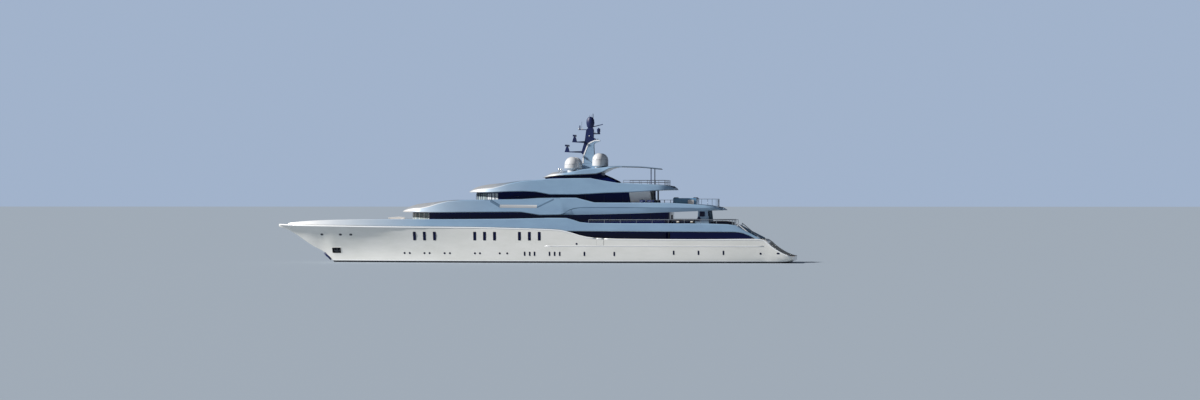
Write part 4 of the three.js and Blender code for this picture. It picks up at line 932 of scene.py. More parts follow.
for hand, _ in HANDS:
    dressed(f"upper_door_{hand}", "tinted_glass", [PAINTED_SKY_GLASS], f"upper_door_{hand}", bevel=0.004)
dressed("upper_house", "white_paint", [WHITE])
dressed("upper_glazing", "tinted_glass", [PAINTED_SKY_GLASS])
upper_wall = skin_of("upper_glazing")
UPPER_MIDDLE = -5.93
bars = range(-45, 46, 9)
front_bars("upper_front_bars", upper_wall, UPPER_MIDDLE, bars, 2.98, 3.69, "white_paint", WHITE)
spans = [(a + 0.4, a + 8.6) for a in bars[:-1]]
front_panes("upper_front_panes", upper_wall, UPPER_MIDDLE, spans, 3.02, 3.68, PALE_REFLECTION_GLASS)
side_joints("upper_glass_joints", upper_wall, spread(-4.6, 8.9, 10), 2.97, 3.66)

# The upper deck's steel rails stand on its bulwark aft, with a wire under each, and a low tinted screen
# curves round the seat at the end below a thin rail of its own.
WIRE_DROP = 0.12
LOUNGE_RAIL = 3.22


def below(surface, x, y, z):
    """The first point of a surface straight below a place, or None."""
    return surface.ray_cast(Vector((x, y, z)), Vector((0, 0, -1)))[0]


def level_edge(surface, middle, turns, narrow=1.0):
    """Where level rays towards a middle meet a surface, each with its direction out from there."""
    found = []
    for turn in turns:
        away = Vector((math.cos(turn) * narrow, math.sin(turn), 0)).normalized()
        hit = surface.ray_cast(Vector(middle) + away * FAR, -away)[0]
        if hit:
            found.append((hit, away))
    return found


def stand(top, foot):
    """The line of an upright from its top down to a level."""
    return [top, Vector((top.x, top.y, foot))]


for hand, side in HANDS:
    dressed(f"side_rail_{hand}", "steel", [STEEL], bevel=0.004)
    rail = skin_of(f"side_rail_{hand}")
    wire = []
    for x in spread(4.38, 14.96, 45):
        over = [p for p in (below(rail, x, side * y, 5) for y in spread(2.7, 2.9, 41)) if p]
        if over:
            wire.append(sum(over, Vector()) / len(over) - Vector((0, 0, WIRE_DROP)))
    pipes(f"rail_wire_{hand}", [wire], 0.007, "steel", STEEL)
dressed("lounge_screen", "tinted_glass", [SUNLIT_GLASS])
# This steel is darker than the polished steel: on the rails it is painted shade, for thin tubes seen dark
# against the sky; on the dome joints it is their dark colour.
DARK_STEEL_AND_RAIL_SHADE = metal("dark_steel_and_painted_rail_shade", (0.34, 0.36, 0.39), 0.35)
half_turn = spread(-math.pi / 2, math.pi / 2, 33)
edge = level_edge(skin_of("lounge_screen"), (13.5, 0, UPPER_RAIL_FOOT), half_turn, 0.8)
rail = [Vector((p.x, p.y, LOUNGE_RAIL)) - away * 0.015 for p, away in edge]
pipes("lounge_rail", [rail, *[stand(p, UPPER_RAIL_FOOT) for p in rail[::4]]], 0.014, "steel", DARK_STEEL_AND_RAIL_SHADE)

# The stern stairs are moulded in one piece each, sprayed white and bolted between the decks, with teak
# treads let into their steps.


def treads_only(centre, normal):
    """Teak on all that is level."""
    return normal.z > 0.99


for hand, _ in HANDS:
    dressed(f"stern_stair_{hand}", "deck_paint", [WHITE, TEAK], choose=treads_only)

# The table on the after upper deck is of teak on a turned foot, bolted down. Eight chairs stand round it,
# with dark seats and backs on four legs each.
CHAIRS = 8
CHAIR_OUT = 0.98
dressed("dining_table", "teak", [TEAK], bevel=0.004)
seat = boxes(
    [
        ((-0.12, -0.12, 0.2), (0.12, 0.12, 0.25)),
        ((-0.13, -0.12, 0.24), (-0.1, 0.12, 0.46)),
        ((-0.1, -0.125, 0.3), (0.08, -0.105, 0.33)),
        ((-0.1, 0.105, 0.3), (0.08, 0.125, 0.33)),
        ((-0.115, -0.115, 0), (-0.09, -0.09, 0.21)),
        ((-0.115, 0.09, 0), (-0.09, 0.115, 0.21)),
        ((0.085, -0.115, 0), (0.11, -0.09, 0.31)),
        ((0.085, 0.09, 0), (0.11, 0.115, 0.31)),
    ],
    0.008,
)
low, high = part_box("dining_table")
middle = Vector(((low.x + high.x) / 2, (low.y + high.y) / 2, UPPER_DECK))
angles = [2 * math.pi * (i + 0.5) / CHAIRS for i in range(CHAIRS)]
spots = [middle + CHAIR_OUT * Vector((math.cos(turn), math.sin(turn), 0)) for turn in angles]
turns = [(0, 0, turn + math.pi) for turn in angles]
repeated("dining_chairs", seat, spots, "upholstery", DARK_FABRIC, turns)

# A bar counter stands on each side of the table, in dark enamel with a teak top. Outside each are two
# stools with cream cushions on turned steel feet.
counters = []
tops = []
stools = []
for _, side in HANDS:
    y0, y1 = sorted((side * 1.5, side * 1.86))
    counters.append(((10.5, y0, UPPER_DECK), (12.02, y1, 3.18)))
    tops.append(((10.46, y0 - 0.03, 3.175), (12.06, y1 + 0.03, 3.21)))
    stools += [(x, side * 2.14, 3.04) for x in (10.92, 11.95)]
link("bar_counters", boxes(counters, 0.02), "mast_paint", YACHT, NAVY)
link("bar_tops", boxes(tops, 0.008), "teak", YACHT, TEAK)
cushions("bar_stool", (0.22, 0.22, 0.14), stools, CREAM, CREAM)
profile = [(0, 0), (0.09, 0), (0.09, 0.012), (0.018, 0.02), (0.018, 0.4), (0.08, 0.415), (0, 0.43)]
feet = [Vector((x, y, UPPER_DECK)) for x, y, _ in stools]
repeated("stool_feet", turned(profile, 14), feet, "steel", STEEL)

# Mooring gear stands on the foredeck: two windlasses on one bed with their chains, four pairs of
# bollards a side, a stowed crane and three hatches. It is of steel, polished or painted white, and bolted
# through the deck.
dressed("windlass", "steel", [STEEL], bevel=0.012)
dressed("boat_crane", "white_paint", [WHITE], bevel=0.01)
foredeck_top = skin_of("foredeck", "upper_deck")
LINK_LONG, LINK_WIDE, LINK_THICK = 0.045, 0.026, 0.009
LINK_COUNT = 12
LINK_PITCH = 0.066
BOLLARD_SUNK = 0.004


def on_deck(x, y, up=0.0):
    """The place on the foredeck, or this far above it."""
    return below(foredeck_top, x, y, 3.05) + Vector((0, 0, up))


def chain_link(steps=16, sides=6):
    """One oval link of round bar."""
    work = bmesh.new()
    rings = []
    for i in range(steps):
        turn = 2 * math.pi * i / steps
        middle = Vector((LINK_LONG * math.cos(turn), LINK_WIDE * math.sin(turn), 0))
        outward = Vector((math.cos(turn) / LINK_LONG, math.sin(turn) / LINK_WIDE, 0)).normalized()
        ring = []
        for j in range(sides):
            around = 2 * math.pi * j / sides
            offset = outward * math.cos(around) + Vector((0, 0, 1)) * math.sin(around)
            ring.append(work.verts.new(middle + offset * LINK_THICK))
        rings.append(ring)
    for first, last in zip(rings, rings[1:] + rings[:1]):
        joined(work, first, last)
    return closed_mesh(work, "chain_link", 180)


spots = []
for _, side in HANDS:
    for i in range(LINK_COUNT):
        sag = 0.16 * max(0, 1 - i / 3)
        spots.append(on_deck(-14.36 - i * LINK_PITCH, side * 0.45, 0.03 + sag))
turns = [(math.pi / 2 * (i % 2), 0, 0) for i in range(len(spots))]
repeated("anchor_chains", chain_link(), spots, "steel", STEEL, turns)
profile = [(0, 0), (0.09, 0), (0.09, 0.02), (0.045, 0.04), (0.045, 0.17), (0.065, 0.185), (0, 0.2)]
pairs = ((-15.1, 0.62), (-13.2, 1.25), (-11.5, 1.6), (-9.9, 1.9))
shifts = (-0.13, 0.13)
spots = [on_deck(x + a, side * y, -BOLLARD_SUNK) for x, y in pairs for _, side in HANDS for a in shifts]
repeated("bollards", turned(profile, 14), spots, "steel", STEEL)
hatch = boxes([((-0.3, -0.3, -0.02), (0.3, 0.3, 0.045)), ((-0.26, -0.26, 0.04), (0.26, 0.26, 0.06))], 0.014)
spots = [on_deck(x, y) for x, y in ((-12.6, 0), (-11.9, 0.75), (-11.9, -0.75))]
repeated("deck_hatches", hatch, spots, "white_paint", WHITE)
hatch_pane = boxes([((-0.21, -0.21, 0.05), (0.21, 0.21, 0.068))])
repeated("hatch_panes", hatch_pane, spots, "tinted_glass", SUNLIT_GLASS)
dog = turned([(0, 0.04), (0.022, 0.04), (0.022, 0.066), (0.012, 0.074), (0, 0.074)], 10)
shifts = [Vector((a, b, 0)) for a in (-0.235, 0.235) for b in (-0.15, 0.15)]
repeated("hatch_dogs", dog, [p + shift for p in spots for shift in shifts], "steel", STEEL)

# The bridge deck hangs over the upper one, a band of the same silver blue with an off-white nose and brow,
# partly white paint and partly painted sunlight. It has a scoop in each side with painted sunlight on its
# floor and painted shade on its ends, and a fine knuckle line of painted shadow runs aft below it.
BRIDGE_DECK = 3.92
SCOOP_RUN = (-3.4, 2.15)
SCOOP_WALL = (2.49, 2.63)
SCOOP_FLOOR = (-2.32, 0.5)
PAINTED_SHADE_SILVER = painted("silver_enamel_painted_shade", (0.15, 0.235, 0.33), (0.125, 0.205, 0.3), 0.35, 0.1, 0.3)
PAINTED_SUNLIT_SILVER = painted("silver_enamel_painted_sunlight", (0.5, 0.5, 0.5), (0.46, 0.465, 0.47), 0.35, 0.1, 0.3)


def banded(floor, scooped=False):
    """Teak on the level floor, the brow's paint with its painted sunlight on what else faces up, and on the
    scoop's walls painted shade at its ends and painted sunlight on its floor.
    """

    def choose(centre, normal):
        if normal.z > 0.97 and abs(centre.z - floor) < LEVEL:
            return 1
        by_scoop = SCOOP_RUN[0] < centre.x < SCOOP_RUN[1] and SCOOP_WALL[0] < abs(centre.y) < SCOOP_WALL[1]
        if scooped and by_scoop and 0.3 < normal.z < 0.95:
            return 4 if SCOOP_FLOOR[0] < centre.x < SCOOP_FLOOR[1] else 3
        return 2 if normal.z > 0.5 else 0

    return choose


BRIDGE_SIDES = fading_enamel("bridge_deck_enamel", -9.2, -2.0, 0.27)
# On faces that look up, the brow's enamel stays white further aft than the sides': white paint on the brow,
# with painted sunlight on the tops that face the sun.
BRIDGE_BROW_SUNLIT = fading_enamel("bridge_brow_enamel_sunlit", -7.6, -5.2)
paints = [BRIDGE_SIDES, TEAK, BRIDGE_BROW_SUNLIT, PAINTED_SHADE_SILVER, PAINTED_SUNLIT_SILVER]
dressed("bridge_deck", "deck_paint", paints, choose=banded(BRIDGE_DECK, True))
band_side = skin_of("bridge_deck")
# The knuckle line and the foot of each length of the scoop's lip, as (x, z).
KNUCKLE = (
    (2.43, 3.62), (2.6, 3.76), (2.85, 3.93), (3.2, 4.06), (3.7, 4.13), (5, 4.14), (7, 4.13), (9.9, 4.1)
)
# The lips are strips of painted shade on the scoop's ends and of painted sunlight on its floor.
LIPS = (
    ("forward", ((-3.02, 4.46), (-2.3, 4.06)), PAINTED_SHADE_SILVER),
    ("middle", ((-2.3, 4.06), (0.47, 4.03)), PAINTED_SUNLIT_SILVER),
    ("after", ((0.47, 4.03), (1.72, 4.59)), PAINTED_SHADE_SILVER),
)


def scoop_edge(side, x, z):
    """The height at which the side of the band turns in to the scoop's floor, from z upwards."""
    step = 0.004
    while z < 5.2:
        hit, normal = abeam(band_side, side, x, z + step)
        if not hit or normal.z > 0.3:
            return z
        z += step
    return z


def closer(line, step=0.1):
    """The points of a line of (x, z), with more between them so that none are further apart than a step."""
    dense = [line[0]]
    for (x0, z0), (x1, z1) in zip(line, line[1:]):
        count = max(1, round(abs(x1 - x0) / step))
        dense += [(x0 + (x1 - x0) * i / count, z0 + (z1 - z0) * i / count) for i in range(1, count + 1)]
    return dense


def rim_of(columns):
    """The points round a sheet that is made of columns."""
    top = [column[0] for column in columns]
    foot = [column[-1] for column in columns]
    return top + columns[-1][1:-1] + foot[::-1] + columns[0][-2:0:-1]


def inlaid(line, side, width, rows=6, proud=0.004, sunk=0.006, tail=0.0):
    """A strip of this width below a line of (x, z), bent to the side of the band and let into it.

    Over the length of its tail, at the after end, it narrows.
    """
    work = bmesh.new()
    fronts = []
    backs = []
    for x, z in line:
        deep = width * min(1, 0.12 + (line[-1][0] - x) / tail) if tail else width
        found = [abeam(band_side, side, x, z - deep * k / rows) for k in range(rows + 1)]
        if all(hit for hit, _ in found):
            fronts.append([work.verts.new(hit + normal * proud) for hit, normal in found])
            backs.append([work.verts.new(hit - normal * sunk) for hit, normal in found])
    for sheet in (fronts, backs):
        for first, last in zip(sheet, sheet[1:]):
            for k in range(rows):
                work.faces.new((first[k], first[k + 1], last[k + 1], last[k]))
    joined(work, rim_of(fronts), rim_of(backs))
    return closed_mesh(work, "inlay")


for hand, side in HANDS:
    for place, line, material in LIPS:
        edge = [(x, scoop_edge(side, x, z)) for x, z in closer(line)]
        link(f"scoop_lip_{place}_{hand}", inlaid(edge, side, 0.12), "deck_paint", YACHT, material)
    # The knuckle line is a strip of painted shadow.
    mesh = inlaid(closer(KNUCKLE), side, 0.055, 3, tail=3.5)
    link(f"knuckle_line_{hand}", mesh, "deck_paint", YACHT, PAINTED_SHADE_SILVER)

# Two fairings carry the band's after end. Each ends in a dark louvred head over a slanted dark vent, both
# let into the plate.
VENT = ((12.18, 3.1), (12.62, 3.1), (12.6, 3.3), (12.5, 3.44), (12.38, 3.42), (12.34, 3.3))
VENT_OUT = (1.99, 2.02)
heads = []
for hand, side in HANDS:
    y0, y1 = sorted((side * 1.83, side * 2.03))
    heads.append(((12.48, y0, 3.42), (12.92, y1, 3.83)))
    work = bmesh.new()
    capped(work, [[work.verts.new((x, side * y, z)) for x, z in VENT] for y in VENT_OUT])
    link(f"fairing_vent_{hand}", closed_mesh(work, "fairing_vent"), "mast_paint", YACHT, NAVY)
link("louvre_heads", boxes(heads, 0.09), "mast_paint", YACHT, NAVY)
slat = boxes([((-0.14, -0.012, -0.003), (0.14, 0.012, 0.003))], 0.002)
rows = [(side, z) for _, side in HANDS for z in spread(3.5, 3.76, 8)]
spots = [Vector((12.7, side * 2.035, z)) for side, z in rows]
repeated("louvre_slats", slat, spots, "mast_paint", BLACK, [(side * 0.5, 0, 0) for side, _ in rows])

# The wheelhouse: panes in front, pale with a painted sky reflection, and ones at its corners made bright
# with a painted glare of the sky, between dark bars, a wiper on each of the front panes, and dark glass
# along the sides. Hinged doors lead to the wings and sliding ones aft.
for hand, _ in HANDS:
    dressed(f"wing_door_{hand}", "tinted_glass", [PAINTED_SKY_GLASS], f"wing_door_{hand}", bevel=0.003)
    dressed(f"bridge_door_{hand}", "tinted_glass", [PAINTED_SKY_GLASS], f"bridge_door_{hand}", bevel=0.004)
dressed("bridge_house", "white_paint", [WHITE])
dressed("bridge_glazing", "tinted_glass", [PAINTED_SKY_GLASS])
bridge_wall = skin_of("bridge_glazing")
BRIDGE_MIDDLE = -1.8
CORNER_PANES = ((43, 51.5), (53.5, 59), (61, 67))
bars = list(range(-42, 43, 12))
spans = [(a + 0.7, a + 11.3) for a in bars[:-1]]
front_panes("bridge_front_panes", bridge_wall, BRIDGE_MIDDLE, spans, 4.3, 5.15, PALE_REFLECTION_GLASS)
spans = [(side * a, side * b) for a, b in CORNER_PANES for _, side in HANDS]
front_panes("bridge_corner_panes", bridge_wall, BRIDGE_MIDDLE, spans, 4.3, 5.15, BRIGHT_REFLECTION_GLASS)
bars += [side * a for a in (52.5, 60) for _, side in HANDS]
front_bars("bridge_front_bars", bridge_wall, BRIDGE_MIDDLE, bars, 4.28, 5.16, "tinted_glass", PAINTED_SKY_GLASS)
side_joints("bridge_glass_joints", bridge_wall, (-0.2, 1.2, 2.6, 4.0, 5.4, 6.8), 4.2, 5.0)
wipers = []
for angle in range(-36, 37, 12):
    hit, outward, sideways = front_hit(bridge_wall, BRIDGE_MIDDLE, math.radians(angle), 4.9)
    foot = Vector((hit.x, hit.y, 5.13)) + outward * 0.03
    elbow = foot - Vector((0, 0, 0.3)) + sideways * 0.1
    wipers.append([foot, elbow, elbow - Vector((0, 0, 0.12))])
pipes("wipers", wipers, 0.008, "steel", BLACK)

# A porthole in a steel rim closes the round hole in each wing wall, abaft the wheelhouse. Its pane is
# dark glass, set in from the rim.
PORTHOLE = (8.25, 4.62)


def arc(middle, across, up, start, end, count):
    """Points round a middle from one angle to another, on the ellipse that two vectors span."""
    return [middle + across * math.cos(turn) + up * math.sin(turn) for turn in spread(start, end, count)]


x, z = PORTHOLE
radii = (Vector((0.1, 0, 0)), Vector((0, 0, 0.1)))
rims = [arc(Vector((x, side * 1.836, z)), *radii, 0, 2 * math.pi, 25) for _, side in HANDS]
pipes("wing_porthole_rims", rims, 0.014, "steel", STEEL)
porthole = turned([(0, 0.01), (0.098, 0.01), (0.098, -0.01), (0, -0.01)], 24)
spots = [Vector((x, side * 1.79, z)) for _, side in HANDS]
repeated("wing_portholes", porthole, spots, "tinted_glass", PAINTED_SKY_GLASS, [(math.pi / 2, 0, 0)] * 2)

# A spa pool stands aft of the wheelhouse: a basin painted blue and filled with water, its blue strengthened
# by a painted reflection of sky and sea on its sides in shade, with a white step on each side and a dark
# headrest at each end. A clear glass screen under a steel rail closes the deck's after end, and a short rail
# stands along each side forward of the pool.
# The spa's blue is partly paint and partly a painted reflection of sky and sea on sides in shade.
SPA_BLUE_PAINTED_SKY = painted("spa_enamel_painted_sky", (0.17, 0.37, 0.58), (0.14, 0.33, 0.53), 0.3, 0.1, 0.3)
dressed("spa_pool", "deck_paint", [SPA_BLUE_PAINTED_SKY], bevel=0.02)
steps = []
for _, side in HANDS:
    y0, y1 = sorted((side * 1.14, side * 1.36))
    steps.append(((11.58, y0, BRIDGE_DECK), (12.02, y1, 4.68)))
link("spa_steps", boxes(steps, 0.03), "white_paint", YACHT, WHITE)
WATER = tinted("spa_water", (0.2, 0.5, 0.62), (0.12, 0.4, 0.55), 0.04)
tree = WATER.node_tree
bumped(tree, tree.nodes["Principled BSDF"], cloudy(tree, 6), 0.03)
water = boxes([((10.72, -0.88, 4.5), (11.88, 0.88, 4.72))], 0.004)
link("spa_water", water, "tinted_glass", YACHT, WATER)
cushions("spa_headrest", (0.24, 1.9, 0.12), [(10.59, 0, 4.8), (12.04, 0, 4.8)], DARK_FABRIC, DARK_FABRIC)
CLEAR_GLASS, _, clear_shader = new_material("clear_glass", (0.97, 0.99, 1), 0.02)
clear_shader.inputs["Transmission Weight"].default_value = 1
clear_shader.inputs["IOR"].default_value = 1.06
dressed("bridge_screen", "tinted_glass", [CLEAR_GLASS])
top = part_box("bridge_screen")[1].z + 0.012
half_turn = spread(-math.pi / 2, math.pi / 2, 41)
edge = level_edge(skin_of("bridge_screen"), (12.3, 0, 4.6), half_turn)
rail = [Vector((p.x, p.y, top)) - away * 0.012 for p, away in edge]
pipes("screen_rail", [rail, *[stand(p, BRIDGE_DECK) for p in rail[::5]]], 0.014, "steel", DARK_STEEL_AND_RAIL_SHADE)
lines = []
for _, side in HANDS:
    rail = [Vector((x, side * 2.5, 4.66)) for x in spread(8.1, 10.4, 6)]
    lines += [rail, *[stand(p, 4.36) for p in rail]]
pipes("bridge_deck_rail", lines, 0.016, "steel", DARK_STEEL_AND_RAIL_SHADE)

# Two liferafts lie by the rail on each side. Each is a dark canister in two halves with a raised band at
# their joint, and rests in two steel hoops on legs.
RAFT_HIGH = 4.51
RAFT_OUT = 2.26
CRADLE_RADIUS = 0.158
shell = [(0, -0.27), (0.1, -0.265), (0.14, -0.24), (0.145, -0.05), (0.152, -0.04), (0.152, 0.04)]
raft = turned(shell + [(0.145, 0.05), (0.14, 0.24), (0.1, 0.265), (0, 0.27)], 20)
spots = [Vector((x, side * RAFT_OUT, RAFT_HIGH)) for _, side in HANDS for x in (8.32, 8.92)]
repeated("liferafts", raft, spots, "mast_paint", NAVY, [(0, math.pi / 2, 0)] * len(spots))
radii = (Vector((0, CRADLE_RADIUS, 0)), Vector((0, 0, CRADLE_RADIUS)))
cradles = []
for spot in spots:
    for shift in (-0.15, 0.15):
        hoop = arc(spot + Vector((shift, 0, 0)), *radii, math.pi, 2 * math.pi, 9)
        cradles += [hoop, stand(hoop[1], BRIDGE_DECK), stand(hoop[7], BRIDGE_DECK)]
pipes("raft_cradles", cradles, 0.012, "steel", STEEL)

# The sun deck is a third welded band, on dark posts aft. The top house on it has its own dark glass, with
# black bars round the front, and stands between sloping wings.
SUN_DECK = 5.46
TOP_MIDDLE = 2.68


def sun_choice(centre, normal):
    """The posts below the deck are dark, and the rest is as on the other bands."""
    post = centre.z < 5.1 and 9 < centre.x < 9.25 and abs(abs(centre.y) - 1.2) < 0.1
    return 3 if post else banded(SUN_DECK)(centre, normal)


SUN_SIDES = fading_enamel("sun_deck_enamel", -3.95, 0.2, 0.24)
# The brow's enamel on faces that look up is white paint with painted sunlight, as on the bridge deck.
SUN_DECK_BROW_SUNLIT = fading_enamel("sun_deck_brow_enamel_sunlit", -3.2, -1.4)
dressed("sun_deck", "deck_paint", [SUN_SIDES, TEAK, SUN_DECK_BROW_SUNLIT, NAVY], choose=sun_choice)
dressed("top_house", "white_paint", [WHITE])
dressed("top_glazing", "tinted_glass", [PAINTED_SKY_GLASS])
top_wall = skin_of("top_glazing")
bars = range(-60, 61, 15)
front_bars("top_front_bars", top_wall, TOP_MIDDLE, bars, 6.1, 6.42, "tinted_glass", BLACK, 0.03, 0.01)

# A steel rail of thin tube with one wire runs round the sun deck's after end. Inside it lie three cream
# sun pads on a low white base, with a bolster at the head of each.
SUN_RAIL = 6.12
SUN_RAIL_END = 9.95
sun_band = skin_of("sun_deck")
arc_turn = spread(-math.radians(120), math.radians(120), 49)
rail = []
feet = []
for i, (hit, away) in enumerate(level_edge(sun_band, (8.2, 0, 5.5), arc_turn)):
    x, y, _ = hit - away * 0.07
    rail.append(Vector((min(x, SUN_RAIL_END), y, SUN_RAIL)))
    foot = below(sun_band, rail[-1].x, y, 8)
    if foot and i % 3 == 0:
        feet.append([rail[-1], foot - Vector((0, 0, 0.01))])
wire = [p - Vector((0, 0, 0.16)) for p in rail]
tubes = pipes("sun_rail_tubes", [rail, wire, *feet], 0.014, "steel", DARK_STEEL_AND_RAIL_SHADE)
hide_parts("sun_rail")
pad_base = boxes([((6.6, -1.02, SUN_DECK), (8.3, 1.02, SUN_DECK + 0.1))], 0.015)
link("sun_pad_base", pad_base, "white_paint", YACHT, WHITE)
across = (-0.68, 0, 0.68)
cushions("sun_pad", (1.6, 0.64, 0.12), [(7.46, y, SUN_DECK + 0.16) for y in across], CREAM, NAVY)
cushions("sun_bolster", (0.22, 0.56, 0.12), [(6.8, y, SUN_DECK + 0.28) for y in across], CREAM, NAVY)

# The hardtop is moulded in one with its thin canopy on two dark posts, silver blue with an off-white nose,
# partly white paint and partly painted sunlight. A dark strip closes the canopy's edge, and two searchlights
# stand on its brow.
ROOF_MIDDLE = 7
ROOF_REACH = 2.9
OVER_ROOF = 9
UNDER_ROOF = 6.3


def roof_choice(centre, _):
    """The posts under the canopy are dark."""
    return centre.x > 8.7 and 5.5 < centre.z < 6.95


HARDTOP_ENAMEL = fading_enamel("hardtop_enamel", 1.6, 2.4)
dressed("hardtop", "deck_paint", [HARDTOP_ENAMEL, NAVY], choose=roof_choice)
roof_top = skin_of("hardtop")


def last_radius(turn):
    """How far a level direction from the roof's middle stays over the roof."""
    reach = ROOF_REACH
    while reach > 0.2:
        if below(roof_top, ROOF_MIDDLE + reach * math.cos(turn), reach * math.sin(turn), OVER_ROOF):
            return reach
        reach -= 0.004
    return 0


bead = []
for turn in spread(-math.radians(100), math.radians(100), 61):
    reach = last_radius(turn) - 0.006
    x, y = ROOF_MIDDLE + reach * math.cos(turn), reach * math.sin(turn)
    top = below(roof_top, x, y, OVER_ROOF)
    under = above(roof_top, x, y, UNDER_ROOF)
    bead.append((top + under) / 2 if under else top)
pipes("canopy_edge", [bead], 0.02, "tinted_glass", BLACK)
profile = [(0, 0), (0.05, 0), (0.05, 0.02), (0.02, 0.03), (0.02, 0.1), (0.07, 0.12), (0.085, 0.16)]
searchlight = turned(profile + [(0.085, 0.26), (0.06, 0.3), (0, 0.31)], 16)
spots = [below(roof_top, 1.9, side * 0.7, OVER_ROOF) - Vector((0, 0, 0.005)) for _, side in HANDS]
repeated("searchlights", searchlight, spots, "steel", STEEL)

# Four satellite domes stand on the roof. Each is a white shell in two halves, bolted together at a dark
# joint, on a short neck.
DOME = painted("dome_shell", (0.66, 0.65, 0.64), (0.63, 0.62, 0.61), 0.4, coat=0.2)
for hand, _ in HANDS:
    for place in ("forward", "after"):
        node = f"dome_{place}_{hand}"
        dressed(node, "dome_white", [DOME], sharp=40)
        low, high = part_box(node)
        radius = (high.y - low.y) / 2
        middle = Vector(((low.x + high.x) / 2, (low.y + high.y) / 2, high.z - radius * 0.98))
        radii = (Vector((radius * 0.988, 0, 0)), Vector((0, radius * 0.988, 0)))
        joint = arc(middle, *radii, 0, 2 * math.pi, 41)
        pipes(f"dome_joint_{place}_{hand}", [joint], 0.007, "dome_white", DARK_STEEL_AND_RAIL_SHADE, sides=6)

# The mast: a welded silver pylon with covers on its sides, raked aft, and above it the dark upper mast with
# its radar platforms, lamps and thin aerials. The two scanners turn on their platforms.


def mast_choice(centre, normal):
    """The pylon, below and aft of the dark mast, is silver: its sides lean in more than the mast's."""
    leaning = abs(normal.y) > 0.99 and 0.08 < normal.z < 0.095
    return int(leaning or centre.z < 8.02 or (centre.x > 4.4 and centre.z < 9.14))


dressed("mast", "mast_paint", [NAVY, SILVER], sharp=35, choose=mast_choice)
PYLON_EDGE = ((3.6, 7.4), (3.62, 7.9), (3.8, 8.39), (3.98, 8.87), (4.22, 9.01), (4.5, 9.13), (4.88, 9.13))


def pylon_half(z):
    """Half the pylon's width at a height."""
    return 0.42 - 0.088 * (z - 6.7)


def pylon_plate(outline, low, high):
    """A closed plate on each side, with this outline of (x, z), between two distances out from the pylon."""
    work = bmesh.new()
    for _, side in HANDS:
        rings = [[(x, side * (pylon_half(z) + out), z) for x, z in outline] for out in (low, high)]
        capped(work, [[work.verts.new(p) for p in ring] for ring in rings])
    return closed_mesh(work, "pylon_plate")


cheek = list(PYLON_EDGE) + [(4.88, 9.05), (4.5, 8.9), (4.43, 8.8), (4.46, 8.2), (4.5, 7.6), (4.58, 7.4)]
link("pylon_cheeks", pylon_plate(cheek, -0.03, 0.012), "mast_paint", YACHT, SILVER)
inset = [(x + 0.09, z) for x, z in PYLON_EDGE[:3]] + [(4.06, 8.81), (4.26, 8.93), (4.51, 9.05), (4.88, 9.05)]
trim = list(PYLON_EDGE) + inset[::-1]
link("pylon_edge", pylon_plate(trim, -0.04, 0.03), "mast_paint", YACHT, BRIGHT_WHITE)
braces = [[Vector((3.75, s * 0.335, 7.84)), Vector((4.52, s * 0.39, 7.3))] for _, s in HANDS]
pipes("pylon_braces", braces, 0.014, "mast_paint", GALVANISED, sides=6)
for which in ("lower", "upper"):
    dressed(f"radar_{which}", "mast_paint", [NAVY], f"radar_{which}", bevel=0.012)
profile = [(0, 0), (0.035, 0), (0.035, 0.03), (0.028, 0.035), (0.028, 0.09), (0.036, 0.095), (0, 0.11)]
lantern = turned(profile, 12)
upright = [(3.3, 0, 9.92), (3.55, 0, 9.92), (4.5, 0, 9.63), (4.72, 0.03, 9.12), (4.72, -0.03, 9.12)]
sideways = [(4.1, side * 0.17, 9.44) for _, side in HANDS]
turns = [(0, 0, 0)] * len(upright) + [(-side * math.pi / 2, 0, 0) for _, side in HANDS]
repeated("mast_lights", lantern, upright + sideways, "mast_paint", LAMP, turns)
# Columns: x, y, foot and top of each aerial.
whips = ((3.5, 0.02, 9.92, 10.5), (4.2, 0.1, 10.8, 11.02), (4.1, -0.1, 10.8, 10.98), (4.85, 0, 9.62, 10.0))
aerials = [[Vector((x, y, foot)), Vector((x + 0.01, y, top))] for x, y, foot, top in whips]
pipes("aerials", aerials, 0.009, "mast_paint", NAVY, sides=6)

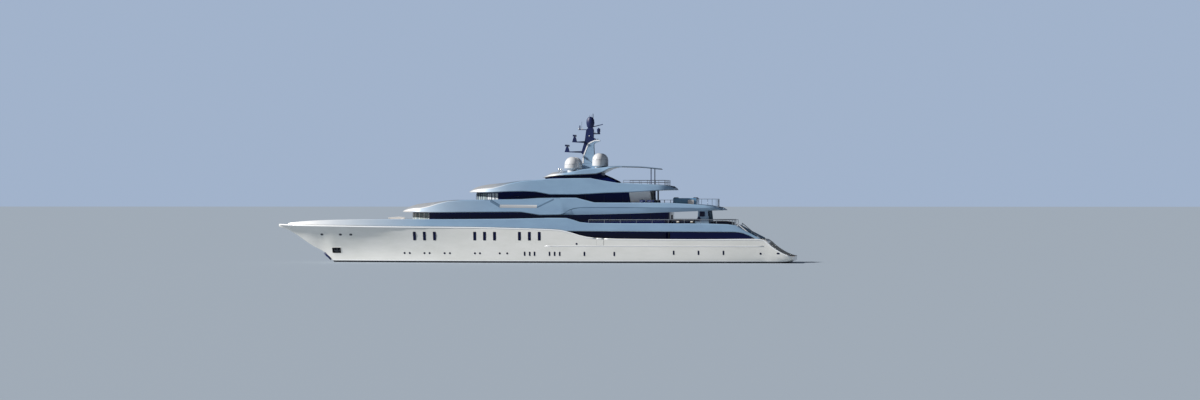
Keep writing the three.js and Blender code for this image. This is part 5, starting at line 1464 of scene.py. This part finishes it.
# The boat is shown at its waterline on a pale matt floor, under a dim blue sky with the sun ahead and to
# port. The camera sees a brighter backdrop, also through clear glass.
FLOOR_REACH = 2500
floor_mesh = bpy.data.meshes.new("floor")
corners = [(a * FLOOR_REACH, b * FLOOR_REACH, 0) for a, b in ((-1, -1), (1, -1), (1, 1), (-1, 1))]
floor_mesh.from_pydata(corners, [], [(0, 1, 2, 3)])
floor = bpy.data.objects.new("floor", floor_mesh)
bpy.context.collection.objects.link(floor)
paper, _, _ = new_material("floor_paper", (0.36, 0.41, 0.46), 0.9)
floor_mesh.materials.append(paper)

world = bpy.data.worlds.new("studio")
world.use_nodes = True
sky = world.node_tree
light = sky.nodes["Background"]
light.inputs["Color"].default_value = (0.6, 0.74, 1, 1)
light.inputs["Strength"].default_value = 0.16
backdrop = sky.nodes.new("ShaderNodeBackground")
backdrop.inputs["Color"].default_value = (0.36, 0.45, 0.6, 1)
ray = sky.nodes.new("ShaderNodeLightPath").outputs
either = sky.nodes.new("ShaderNodeMixShader")
sky.links.new(worked_out(sky, "MAXIMUM", ray["Is Camera Ray"], ray["Is Transmission Ray"]), either.inputs[0])
sky.links.new(light.outputs["Background"], either.inputs[1])
sky.links.new(backdrop.outputs["Background"], either.inputs[2])
sky.links.new(either.outputs["Shader"], sky.nodes["World Output"].inputs["Surface"])
bpy.context.scene.world = world
bpy.context.scene.view_settings.view_transform = "Standard"
sun_data = bpy.data.lights.new("sun", "SUN")
sun_data.energy = 5.2
sun_data.angle = math.radians(3)
sun = bpy.data.objects.new("sun", sun_data)
sun.rotation_euler = Vector((-0.8, -0.3, 0.52)).to_track_quat("Z", "Y").to_euler()
bpy.context.collection.objects.link(sun)

# The camera stands at the photograph's place: far away, abeam to port and a little aft, and near the
# water. It looks level.
CAMERA_TURN = math.radians(6.5)
CAMERA_AWAY = 298.2
EYE_HEIGHT = 4.66
AIM = 4.88
camera_data = bpy.data.cameras.new("camera")
camera_data.sensor_width = 36
camera_data.lens = 120
camera_data.clip_end = 6000
camera = bpy.data.objects.new("camera", camera_data)
back = CAMERA_AWAY * Vector((math.sin(CAMERA_TURN), -math.cos(CAMERA_TURN), 0))
camera.location = Vector((AIM, 0, EYE_HEIGHT)) + back
camera.rotation_euler = (math.pi / 2, 0, CAMERA_TURN)
bpy.context.collection.objects.link(camera)
bpy.context.scene.camera = camera
